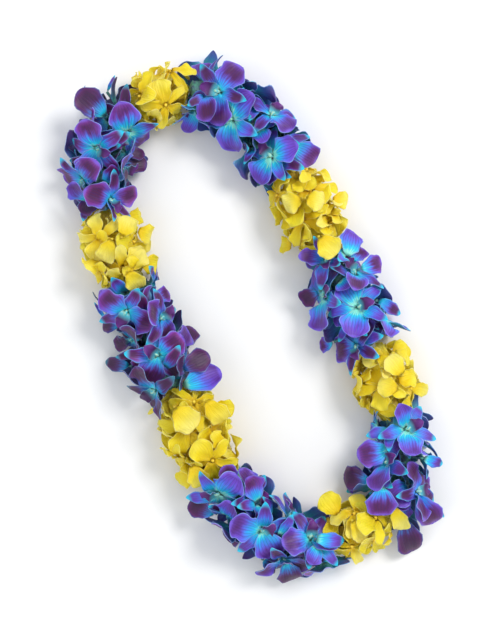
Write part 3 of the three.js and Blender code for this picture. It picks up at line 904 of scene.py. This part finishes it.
fillers = []
for band in bands:
    colour = band["kind"]["colour"]
    for row in FILLERS[colour]:
        tilts = [math.radians(tilt) for tilt in row["tilts"]]
        shape = dict(scale=row["scale"], stand=row["stand"], open=False, tepals=FILLER_TEPALS[colour])
        first = FILLER_FIRST + len(fillers)
        for spot in spots_along(band, row["step"], BASES_MARGIN, first, tilts, **shape):
            tries = [half_open(spot, roll) for roll in rolls_of(spot["bloom"], FILLER_ROLLS)]
            made, surfaces = max(tries, key=lambda pair: len(pair[1]))
            for surface in surfaces:
                taken.put(len(taken.trees), spot["bloom"], *surface)
            fillers.append(made)
found_room = sum(len(made["blades"]) for made in fillers)
print(len(fillers), "half-open blooms with", found_room, "petals between them")

# %% [markdown]
# Round the string the cut bases are packed so close that they read as one lumpy cord. It is a tube whose
# radius rises and falls in rows of bumps, one bump for each base.

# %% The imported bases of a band
BASES_SHORT, BASES_INSET = 1, 1
BASES_SIDES, BASES_RING_STEP = 30, 1.6
END_SHARE, END_LENGTH = 0.35, 4
BUMP_ROUND, BUMP_LENGTH, BUMP_SHARE = 6, 7.0, 0.14


def bases_skin(band):
    """A tube along the band's stretch of string, with its radius times one plus rows of staggered bumps. It
    narrows in a straight line towards both ends, where it closes."""
    start, end = band["start"] + BASES_SHORT, band["end"] - BASES_SHORT
    rings = int((end - start) / BASES_RING_STEP)
    run = np.linspace(start, end, rings)
    path = string_point(run)
    points, triangles, share = round_skin(path, np.ones(rings), BASES_SIDES)
    centre = np.repeat(path, BASES_SIDES, axis=0)
    turn = np.tile(np.linspace(0, 2 * np.pi, BASES_SIDES, endpoint=False), rings)
    along = np.repeat(run, BASES_SIDES)
    bumps = np.cos(BUMP_ROUND * turn + np.pi * along / BUMP_LENGTH) * np.cos(2 * np.pi * along / BUMP_LENGTH)
    narrowed = np.clip(END_SHARE + np.minimum(along - start, end - along) / END_LENGTH, 0, 1)
    radius = (band["kind"]["bases_radius"] - BASES_INSET) * (1 + BUMP_SHARE * bumps) * narrowed
    points[:-2] = centre + (points[:-2] - centre) * radius[:, None]
    return points, triangles, share


print("bases of the first band:", len(bases_skin(bands[0])[1]), "triangles")

# %% [markdown]
# ## From arrays to meshes
# All blades of a band go into one mesh in a single call for points and one for faces. Each corner also
# carries where it lies on its own blade, as a UV map, and five numbers as attributes: the bloom's tone and
# how cool its colour is, the front or back side, the form of the blade, and how deep in the strand it lies.
# The materials read these, so one material serves all the petals of a colour.

# %% Collect and build
FORM_NUMBER = dict(petal=0.0, sepal=1.0, lip=2.0, round=3.0)
VALUE_NAMES = ["tone", "cool", "front", "form", "depth"]
DEPTH_REACH = 30


class Skin:
    """Surfaces gathered into one mesh, with their UVs and attributes."""

    def __init__(self):
        self.points, self.triangles, self.uv, self.values, self.materials = [], [], [], [], []
        self.count = 0

    def add(self, points, triangles, uv, values, material=0):
        """One surface more: values has a row of attribute numbers for each point, or one row for all."""
        self.points.append(points)
        self.triangles.append(triangles + self.count)
        self.uv.append(uv)
        self.values.append(np.broadcast_to(values, (len(points), len(VALUE_NAMES))))
        self.materials.append(np.full(len(triangles), material))
        self.count += len(points)

    def add_round(self, surface, tone, cool, depth, material=0):
        """A round skin, with its path along the UV map's first axis and one row of numbers for all of it."""
        points, triangles, share = surface
        uv = np.stack([share, np.full(len(share), 0.5)], axis=-1)
        self.add(points, triangles, uv, (tone, cool, 1.0, FORM_NUMBER["round"], depth), material)

    def build(self, name, materials):
        """The mesh object, smooth, in metres, riding on the lei's body."""
        points, triangles = np.concatenate(self.points), np.concatenate(self.triangles)
        mesh = bpy.data.meshes.new(name)
        mesh.vertices.add(len(points))
        mesh.vertices.foreach_set("co", (points * MM).ravel())
        mesh.loops.add(triangles.size)
        mesh.loops.foreach_set("vertex_index", triangles.ravel())
        mesh.polygons.add(len(triangles))
        mesh.polygons.foreach_set("loop_start", np.arange(0, triangles.size, 3))
        mesh.polygons.foreach_set("material_index", np.concatenate(self.materials))
        mesh.update(calc_edges=True)
        mesh.shade_smooth()
        layer = mesh.uv_layers.new(name="UVMap")
        layer.data.foreach_set("uv", np.concatenate(self.uv)[triangles.ravel()].ravel())
        values = np.concatenate(self.values)
        for k, value_name in enumerate(VALUE_NAMES):
            mesh.attributes.new(value_name, "FLOAT", "POINT").data.foreach_set("value", values[:, k].copy())
        for material in materials:
            mesh.materials.append(material)
        made = bpy.data.objects.new(name, mesh)
        bpy.context.scene.collection.objects.link(made)
        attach(made, "root")
        return made


def depth_of(points, made):
    """How deep in the strand each point lies: 1 at the string and 0 at the outer petals."""
    away = points - made["point"]
    from_string = np.linalg.norm(away - (away @ made["ahead"])[:, None] * made["ahead"], axis=-1)
    return np.clip(1 - from_string / DEPTH_REACH, 0, 1)


def add_blades(skin, made):
    """The bloom's blades, on fine grids if it is open and on lighter ones if not."""
    grids = GRIDS if made["open"] else HALF_OPEN_GRIDS
    for blade in made["blades"]:
        grid = grids[blade["form"]]
        points = laid_points(blade, made, grid)
        values = np.stack(np.broadcast_arrays(
            made["tone"], made["cool"], 0.5 + 0.5 * grid["side"], FORM_NUMBER[blade["form"]],
            depth_of(points, made),
        ), axis=-1)
        uv = np.stack([grid["along"], 0.5 + 0.5 * grid["across"]], axis=-1)
        skin.add(points, grid["triangles"], uv, values)


# %% [markdown]
# ## Petal finishes
# A blue dendrobium petal goes from cyan at its claw through blue to violet, darkens to plum in its middle,
# and has a thin light rim. Veins fan out from the claw. All of it follows the petal's own UV map, so the
# pattern stays on the petal from any side, and the bloom's tone moves it between blue and wine. The nodes
# could be laid by hand in the shader editor. A small class with short calls keeps each finish to one page.

# %% Small helpers for node trees
def srgb(red, green, blue):
    """A screen colour of 0 to 255 as the linear colour that shaders take."""
    share = np.array([red, green, blue]) / 255
    linear = np.where(share <= 0.04045, share / 12.92, ((share + 0.055) / 1.055) ** 2.4)
    return (*linear.tolist(), 1.0)


class Paint:
    """A material's node tree, with short calls for the nodes that the finishes below use."""

    def __init__(self, name):
        self.material = bpy.data.materials.new(name)
        self.material.use_nodes = True
        self.nodes = self.material.node_tree.nodes
        self.links = self.material.node_tree.links
        self.shader = self.nodes["Principled BSDF"]

    def feed(self, socket, value):
        """A link from another node's output, or a plain value."""
        if isinstance(value, bpy.types.NodeSocket):
            self.links.new(value, socket)
        else:
            socket.default_value = value

    def math(self, operation, a, b=0.0, c=0.0):
        """The result of one sum on up to three numbers."""
        node = self.nodes.new("ShaderNodeMath")
        node.operation = operation
        for socket, value in zip(node.inputs, (a, b, c)):
            self.feed(socket, value)
        return node.outputs[0]

    def times(self, a, b):
        """One number times another."""
        return self.math("MULTIPLY", a, b)

    def plus(self, a, b):
        """Two numbers added."""
        return self.math("ADD", a, b)

    def scaled(self, value, factor, offset):
        """The value times a factor, and an offset more."""
        return self.math("MULTIPLY_ADD", value, factor, offset)

    def attribute(self, name):
        """One of the numbers that each point of a band's mesh carries."""
        node = self.nodes.new("ShaderNodeAttribute")
        node.attribute_name = name
        return node.outputs["Fac"]

    def smooth(self, value, low, high):
        """0 below low, 1 above high, and a smooth step between."""
        node = self.nodes.new("ShaderNodeMapRange")
        node.interpolation_type = "SMOOTHSTEP"
        self.feed(node.inputs["Value"], value)
        node.inputs["From Min"].default_value = low
        node.inputs["From Max"].default_value = high
        return node.outputs["Result"]

    def mix(self, share, a, b):
        """Colour a where the share is 0, colour b where it is 1."""
        node = self.nodes.new("ShaderNodeMix")
        node.data_type = "RGBA"
        self.feed(node.inputs["Factor"], share)
        for socket, value in zip([s for s in node.inputs if s.type == "RGBA"], (a, b)):
            self.feed(socket, value)
        return next(s for s in node.outputs if s.type == "RGBA")

    def noise(self, coordinates, scale, detail=2.0):
        """Soft noise from 0 to 1 that repeats nowhere; the scale says how fine it is."""
        node = self.nodes.new("ShaderNodeTexNoise")
        self.feed(node.inputs["Vector"], coordinates)
        node.inputs["Scale"].default_value = scale
        node.inputs["Detail"].default_value = detail
        return node.outputs["Fac"]

    def ramp(self, share, stops):
        """The colour at that share, between stops of a share and a colour each."""
        node = self.nodes.new("ShaderNodeValToRGB")
        self.feed(node.inputs["Fac"], share)
        elements = node.color_ramp.elements
        elements[0].position, elements[0].color = stops[0]
        elements[1].position, elements[1].color = stops[-1]
        for position, colour in stops[1:-1]:
            elements.new(position).color = colour
        return node.outputs["Color"]

    def blade_coordinates(self):
        """The share along, the share across from 0 in the middle to 1 at the rim, and that from -1 to 1."""
        node = self.nodes.new("ShaderNodeUVMap")
        node.uv_map = "UVMap"
        split = self.nodes.new("ShaderNodeSeparateXYZ")
        self.links.new(node.outputs["UV"], split.inputs[0])
        signed = self.scaled(split.outputs["Y"], 2.0, -1.0)
        return split.outputs["X"], self.math("ABSOLUTE", signed), signed

    def combine(self, *parts):
        """A vector from three numbers."""
        node = self.nodes.new("ShaderNodeCombineXYZ")
        for socket, value in zip(node.inputs, parts):
            self.feed(socket, value)
        return node.outputs[0]

    def object_place(self):
        """Where the point lies on the piece, in metres."""
        return self.nodes.new("ShaderNodeTexCoord").outputs["Object"]

    def bump(self, height, strength, distance):
        """Light and shade as if the surface rose by the height times the distance."""
        node = self.nodes.new("ShaderNodeBump")
        node.inputs["Strength"].default_value = strength
        node.inputs["Distance"].default_value = distance
        self.feed(node.inputs["Height"], height)
        self.links.new(node.outputs["Normal"], self.shader.inputs["Normal"])


# %% [markdown]
# Veins are thin ridges where a sine of the share across is near its top. They part as they run out, since
# the share across is measured against the local width, and noise along them keeps them from looking ruled.
# Softer rays of noise run the same way, and serve for the colour and for fine creases.

# %% Veins, shared by both colours
VEINS = 9
STREAKS = 7.0


def veins_of(paint, along, signed, wobble):
    """1 on a vein and 0 between: a narrow peak of a sine of the share across, bent by noise."""
    bent = paint.scaled(wobble, 0.12, signed)
    wave = paint.math("SINE", paint.times(bent, VEINS * math.pi))
    thin = paint.math("POWER", paint.scaled(wave, 0.5, 0.5), 6.0)
    return paint.times(thin, paint.smooth(along, 0.0, 0.25))


def streaks_of(paint, along, signed, bloom_number):
    """Noise that varies fast across the blade and slowly along it, so it reads as rays from the claw."""
    fast = paint.times(signed, STREAKS)
    return paint.noise(paint.combine(fast, along, paint.times(bloom_number, 31.0)), 1.0, 2.0)


# %% [markdown]
# How far along the petal a colour is reached varies with noise, with the rays, and with the bloom's tone. The
# middle is then darkened, the veins and the margin are laid over it, and sepals get cyan tips. Backs are
# plainer and the darkest blooms go to plum. Over all of it goes painted shade: what lies deep in the strand is
# painted darkest, since little light comes back out from between blue petals.

# %% The blue-violet petals
def blue_petals():
    """Colours by the share along, then the middle, veins, margin, tips, lips, backs and the painted shade of
    the depths over them.
    """
    paint = Paint("blue_violet_petals")
    along, across, signed = paint.blade_coordinates()
    tone, cool, front, form = (paint.attribute(name) for name in ("tone", "cool", "front", "form"))
    place_on = paint.object_place()
    cloud = paint.noise(place_on, 90.0, 3.0)
    wobble = paint.noise(place_on, 220.0, 1.0)
    streak = streaks_of(paint, along, signed, cool)
    # How far along a colour is reached: by noise, by rays, by tone, and later in the cool blooms.
    reach = paint.plus(along, paint.scaled(cloud, 0.36, -0.18))
    reach = paint.plus(reach, paint.scaled(streak, 0.44, -0.22))
    reach = paint.scaled(tone, 0.1, reach)
    reach = paint.scaled(cool, -0.15, reach)
    colour = paint.ramp(reach, [
        (0.0, srgb(140, 232, 215)), (0.1, srgb(22, 208, 236)), (0.27, srgb(48, 156, 238)),
        (0.43, srgb(88, 104, 226)), (0.58, srgb(108, 70, 200)), (0.8, srgb(94, 48, 158)),
        (1.0, srgb(104, 60, 168)),
    ])
    magenta = paint.times(paint.smooth(tone, 0.0, 0.8), paint.smooth(reach, 0.3, 0.65))
    colour = paint.mix(paint.times(magenta, 0.75), colour, srgb(156, 34, 128))
    is_sepal = paint.math("COMPARE", form, 1.0, 0.25)
    # The middle is darkened, most where tone and noise lean that way.
    edge = paint.math("MAXIMUM", across, paint.smooth(along, 0.6, 1.02))
    wine = paint.times(paint.smooth(reach, 0.34, 0.66), paint.smooth(edge, 1.0, 0.3))
    lean = paint.scaled(cool, -0.5, paint.plus(tone, cloud))
    wine = paint.times(wine, paint.smooth(lean, -0.5, 1.0))
    colour = paint.mix(wine, colour, srgb(78, 20, 78))
    # Veins, a margin in violet or in a sepal's blue, and a sepal's cyan tip.
    veins = veins_of(paint, along, signed, wobble)
    colour = paint.mix(paint.times(veins, 0.42), colour, srgb(45, 24, 105))
    margin = paint.mix(is_sepal, srgb(124, 102, 232), srgb(55, 160, 236))
    colour = paint.mix(paint.times(paint.smooth(edge, 0.74, 1.0), 0.7), colour, margin)
    tip = paint.times(is_sepal, paint.smooth(along, 0.78, 0.97))
    colour = paint.mix(tip, colour, srgb(18, 200, 232))
    # A lip is pale at its root and dark further out. A back is plainer than a front.
    is_lip = paint.math("COMPARE", form, 2.0, 0.25)
    lip_colour = paint.ramp(along, [
        (0.0, srgb(190, 225, 200)), (0.2, srgb(70, 180, 195)),
        (0.5, srgb(70, 20, 90)), (1.0, srgb(110, 40, 140)),
    ])
    colour = paint.mix(is_lip, colour, lip_colour)
    back_colour = paint.ramp(reach, [
        (0.0, srgb(130, 200, 170)), (0.3, srgb(40, 150, 165)),
        (0.6, srgb(55, 95, 160)), (1.0, srgb(85, 60, 130)),
    ])
    colour = paint.mix(paint.smooth(front, 0.5, 0.1), colour, back_colour)
    # Plum in the darkest blooms, a pale rim, and painted shade in the depths of the strand.
    plum = paint.times(paint.smooth(tone, 0.5, 1.0), paint.smooth(reach, 0.1, 0.5))
    colour = paint.mix(paint.times(plum, 0.7), colour, srgb(50, 18, 60))
    rim = paint.times(paint.smooth(across, 0.93, 1.0), 0.6)
    colour = paint.mix(rim, colour, srgb(150, 200, 240))
    # Painted shade: points deep in the strand, near the string, are painted dark.
    deep = paint.times(paint.smooth(paint.attribute("depth"), 0.3, 0.85), 0.75)
    colour = paint.mix(deep, colour, srgb(28, 22, 52))
    paint.feed(paint.shader.inputs["Base Color"], colour)
    paint.shader.inputs["Roughness"].default_value = 0.46
    paint.shader.inputs["Specular IOR Level"].default_value = 0.4
    paint.shader.inputs["Subsurface Weight"].default_value = 0.2
    paint.shader.inputs["Subsurface Radius"].default_value = (1.0, 0.6, 0.9)
    paint.shader.inputs["Subsurface Scale"].default_value = 0.0012
    paint.shader.inputs["Sheen Weight"].default_value = 0.04
    creases = paint.scaled(streak, 1.6, wobble)
    paint.bump(paint.scaled(veins, -0.5, creases), 0.35, 0.0006)
    return paint.material


# %% [markdown]
# A yellow petal is clear yellow with an ochre claw and a paler rim. Light comes through it, so it gets more
# subsurface scattering than the blue one, and its painted shade deep in the strand is ochre instead of dark.
# Some blooms lean to lime and some to cream, by their tone.

# %% The yellow petals
def yellow_petals():
    """Yellows by the share along, then veins, backs, lime or cream blooms, the rim and the painted shade of the
    depths over them.
    """
    paint = Paint("yellow_petals")
    along, across, signed = paint.blade_coordinates()
    tone, front = (paint.attribute(name) for name in ("tone", "front"))
    place_on = paint.object_place()
    cloud = paint.noise(place_on, 80.0, 3.0)
    wobble = paint.noise(place_on, 220.0, 1.0)
    reach = paint.plus(along, paint.scaled(cloud, 0.4, -0.2))
    reach = paint.scaled(tone, -0.12, reach)
    colour = paint.ramp(reach, [
        (0.0, srgb(232, 180, 10)), (0.25, srgb(244, 201, 12)),
        (0.6, srgb(248, 215, 24)), (1.0, srgb(250, 225, 68)),
    ])
    veins = veins_of(paint, along, signed, wobble)
    colour = paint.mix(paint.times(veins, 0.2), colour, srgb(228, 180, 14))
    back_colour = paint.ramp(reach, [
        (0.0, srgb(208, 184, 52)), (0.5, srgb(236, 208, 52)), (1.0, srgb(244, 224, 88)),
    ])
    colour = paint.mix(paint.smooth(front, 0.5, 0.1), colour, back_colour)
    # Lime in some blooms and cream in others, a pale rim, and painted shade in ochre in the depths.
    lime = paint.times(paint.smooth(tone, 0.15, 0.65), 0.35)
    colour = paint.mix(lime, colour, srgb(226, 218, 40))
    cream = paint.times(paint.smooth(tone, -0.2, -0.6), paint.smooth(along, 0.2, 0.9))
    colour = paint.mix(paint.times(cream, 0.6), colour, srgb(250, 232, 128))
    rim = paint.times(paint.smooth(across, 0.9, 1.0), 0.4)
    colour = paint.mix(rim, colour, srgb(254, 246, 165))
    # Painted shade: points deep in the strand are painted ochre.
    deep = paint.times(paint.smooth(paint.attribute("depth"), 0.35, 0.9), 0.4)
    colour = paint.mix(deep, colour, srgb(236, 188, 24))
    paint.feed(paint.shader.inputs["Base Color"], colour)
    paint.shader.inputs["Roughness"].default_value = 0.5
    paint.shader.inputs["Subsurface Weight"].default_value = 0.5
    paint.shader.inputs["Subsurface Radius"].default_value = (1.0, 0.85, 0.3)
    paint.shader.inputs["Subsurface Scale"].default_value = 0.003
    paint.shader.inputs["Specular IOR Level"].default_value = 0.35
    paint.shader.inputs["Sheen Weight"].default_value = 0.04
    creases = paint.scaled(streaks_of(paint, along, signed, tone), 2.5, wobble)
    paint.bump(paint.scaled(veins, -0.5, creases), 0.45, 0.0008)
    return paint.material


# %% [markdown]
# ## Columns, stalks, bases and string
# The column is pale and speckled, the stalks and packed bases are darker, and each has a breath of the
# petals' colour. The stalks' and bases' darkness is partly their own duller colour and partly painted shade,
# for where they sit deep between the petals. The string is undyed cotton. Two colours mixed by noise are
# enough for all of them, as they are hardly seen between the petals.

# %% The plain finishes
def speckled(name, dark, light, roughness, scale):
    """Two colours mixed by noise on Object coordinates, with the same noise as a low bump."""
    paint = Paint(name)
    cloud = paint.noise(paint.object_place(), scale, 3.0)
    paint.feed(paint.shader.inputs["Base Color"], paint.mix(paint.smooth(cloud, 0.35, 0.65), dark, light))
    paint.shader.inputs["Roughness"].default_value = roughness
    paint.bump(cloud, 0.4, 0.0008)
    return paint.material


PETALS = dict(blue=blue_petals(), yellow=yellow_petals())
COLUMNS = dict(
    blue=speckled("blue_columns", srgb(60, 185, 195), srgb(190, 225, 190), 0.4, 500.0),
    yellow=speckled("yellow_columns", srgb(226, 184, 26), srgb(246, 218, 66), 0.5, 500.0),
)
# Stalks and bases are darker than the columns: partly their own duller colour, partly painted shade for where
# they sit deep in the strand.
STALKS_WITH_PAINTED_SHADE = dict(
    blue=speckled("blue_stalks", srgb(60, 80, 110), srgb(80, 150, 130), 0.5, 300.0),
    yellow=speckled("yellow_stalks", srgb(188, 158, 26), srgb(222, 196, 50), 0.5, 300.0),
)
COTTON = speckled("undyed_cotton", srgb(205, 198, 180), srgb(238, 234, 222), 0.85, 900.0)
print("finishes:", [material.name for material in bpy.data.materials])

# %% [markdown]
# Now each band is dressed. Its open blooms, the petals that stand out, the half-open blooms and the packed
# bases become one mesh, with the petals', the columns' and the stalks' materials side by side, and it takes
# the place of the band's solid. A given tone for each band and some luck for each bloom settle how dark it
# is.

# %% Dress each band
BAND_TONES = dict(blue=[-0.25, 0.5, 0.5, -0.05, -0.3, -0.2], yellow=[0, 0, 0, 0, 0, 0])
TONE_SPREAD = 0.65
total = 0
for band in bands:
    colour, number = band["kind"]["colour"], band["number"]
    skin = Skin()
    for made in (m for m in blooms + strays + fillers if m["band"] is band):
        made.setdefault("tone", BAND_TONES[colour][number - 1] + TONE_SPREAD * draw(made["bloom"], "tone"))
        made["cool"] = draw(made["bloom"], "cool")
        add_blades(skin, made)
        parts = [(column_skin, 1), (stalk_skin, 2)] if made["open"] else []
        if made["bloom"] >= STRAY_FIRST:
            parts = [(stem_skin, 2)]
        for make, material in parts:
            skin.add_round(make(made), made["tone"], made["cool"], 0.5, material)
    skin.add_round(bases_skin(band), 0.0, 0.0, 1.0, 2)
    piece = skin.build(f"{colour}_blooms_{number}", [PETALS[colour], COLUMNS[colour], STALKS_WITH_PAINTED_SHADE[colour]])
    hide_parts(f"{colour}_orchids_{number}")
    total += len(piece.data.polygons)
print("twelve bands,", total, "triangles")

# %% [markdown]
# ## The string
# The string shows at most as a glint between two bands, but it is there, so it is twisted cotton: three
# strands that wind round the route, each a round skin carried along a helix. The knot is a short overhand
# lump, made of one strand that winds twice round the place where the two ends meet.

# %% Three twisted strands and the knot
STRANDS, STRAND_SIDES = 3, 6
STRAND_RADIUS, STRAND_OFFSET, STRAND_PITCH, STRAND_STEP = 0.42, 0.4, 9.0, 1.5
KNOT_TURNS, KNOT_RADIUS, KNOT_LENGTH = 2.0, 1.4, 5.0
KNOT_RINGS, KNOT_SIDES, KNOT_STRAND_RADIUS = 60, 8, 0.75
KNOT_SWELL, KNOT_LUMPS = 0.25, 3


def strand(phase):
    """A helix round the string's route: the route's point plus an offset that turns once each pitch."""
    count = int(LOOP_LENGTH / STRAND_STEP)
    run = bands[0]["start"] + np.linspace(0, LOOP_LENGTH, count)
    point, ahead, outward = station(run)
    turn = 2 * np.pi * run / STRAND_PITCH + phase
    path = point + STRAND_OFFSET * (np.cos(turn)[:, None] * outward + np.sin(turn)[:, None] * UP)
    return round_skin(path, np.full(count, STRAND_RADIUS), STRAND_SIDES)


def knot():
    """A strand that winds round the place where the two ends meet and runs along it by the knot's length.
    Its distance from the string swells and shrinks by a sine of its turn."""
    share = np.linspace(0, 1, KNOT_RINGS)
    point, ahead, outward = station(bands[0]["start"])
    turn = 2 * np.pi * KNOT_TURNS * share
    swing = KNOT_RADIUS * (1 + KNOT_SWELL * np.sin(KNOT_LUMPS * turn))
    path = point + swing[:, None] * (np.cos(turn)[:, None] * outward + np.sin(turn)[:, None] * UP)
    path = path + ((share - 0.5) * KNOT_LENGTH)[:, None] * ahead
    return round_skin(path, np.full(KNOT_RINGS, KNOT_STRAND_RADIUS), KNOT_SIDES)


skin = Skin()
for surface in [strand(2 * np.pi * k / STRANDS) for k in range(STRANDS)] + [knot()]:
    skin.add_round(surface, 0.0, 0.0, 1.0)
string = skin.build("cotton_string", [COTTON])
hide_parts("string")
print("string and knot,", len(string.data.polygons), "triangles")

# %% [markdown]
# ## Table, light and camera
# The lei is seen from straight above, turned so that its long axis leans to the left. The light is a large
# soft panel from the picture's upper right, with a weaker one from the left and an even pale sky that fills
# the shadows. The table has one plain pale paint, and is so wide that its edges stay out of the side views.

# %% Table and light
picture_right, picture_up = Vector(PICTURE_RIGHT), Vector(PICTURE_UP)


table_paint = Paint("pale_table")
table_paint.shader.inputs["Base Color"].default_value = (0.9, 0.9, 0.9, 1)
table_paint.shader.inputs["Roughness"].default_value = 0.7
TABLE_HALF = 12.0
corners = [(x * TABLE_HALF, y * TABLE_HALF, 0) for x, y in ((-1, -1), (1, -1), (1, 1), (-1, 1))]
table_mesh = bpy.data.meshes.new("table")
table_mesh.from_pydata(corners, [], [(0, 1, 2, 3)])
table_mesh.materials.append(table_paint.material)
table = bpy.data.objects.new("table", table_mesh)
bpy.context.scene.collection.objects.link(table)

SKY_COLOUR, SKY_STRENGTH = (0.93, 0.96, 1.0, 1), 0.79
world = bpy.data.worlds.new("pale_sky")
world.use_nodes = True
world.node_tree.nodes["Background"].inputs["Color"].default_value = SKY_COLOUR
world.node_tree.nodes["Background"].inputs["Strength"].default_value = SKY_STRENGTH
bpy.context.scene.world = world


def panel(name, right, up, height, size, power, colour):
    """A square area light that faces the lei's middle, so many metres to the right of it, up the picture from
    it and over it."""
    spot = right * picture_right + up * picture_up + Vector((0, 0, height))
    light = bpy.data.lights.new(name, "AREA")
    light.size, light.energy, light.color = size, power, colour
    made = bpy.data.objects.new(name, light)
    facing = (-spot).to_track_quat("-Z", "Y").to_matrix().to_4x4()
    made.matrix_world = Matrix.Translation(spot) @ facing
    bpy.context.scene.collection.objects.link(made)
    return made


panels = [
    panel("key_panel", 1.6, 1.3, 2.6, 1.1, 63, (1.0, 0.98, 0.95)),
    panel("fill_panel", -1.8, -0.6, 2.4, 2.0, 12, (0.93, 0.97, 1.0)),
]
print("lights:", [(made.name, made.data.energy) for made in panels], "and a sky of", SKY_STRENGTH)

# %% [markdown]
# The camera hangs over the picture's middle, far enough up for a long lens, which shows the strand's sides as
# little as the picture does. Its right and up are the picture's.

# %% Camera
camera = bpy.data.objects.new("camera", bpy.data.cameras.new("camera"))
camera.data.lens, camera.data.sensor_width = LENS, SENSOR
turned = Matrix((picture_right, picture_up, Vector((0, 0, 1)))).transposed().to_4x4()
camera.matrix_world = Matrix.Translation(Vector(PICTURE_MIDDLE + CAMERA_HEIGHT * UP) * MM) @ turned
bpy.context.scene.collection.objects.link(camera)
bpy.context.scene.camera = camera
bpy.context.scene.view_settings.view_transform = "Standard"
print("the camera hangs", CAMERA_HEIGHT, "mm over the table with a", LENS, "mm lens")

# %% [markdown]
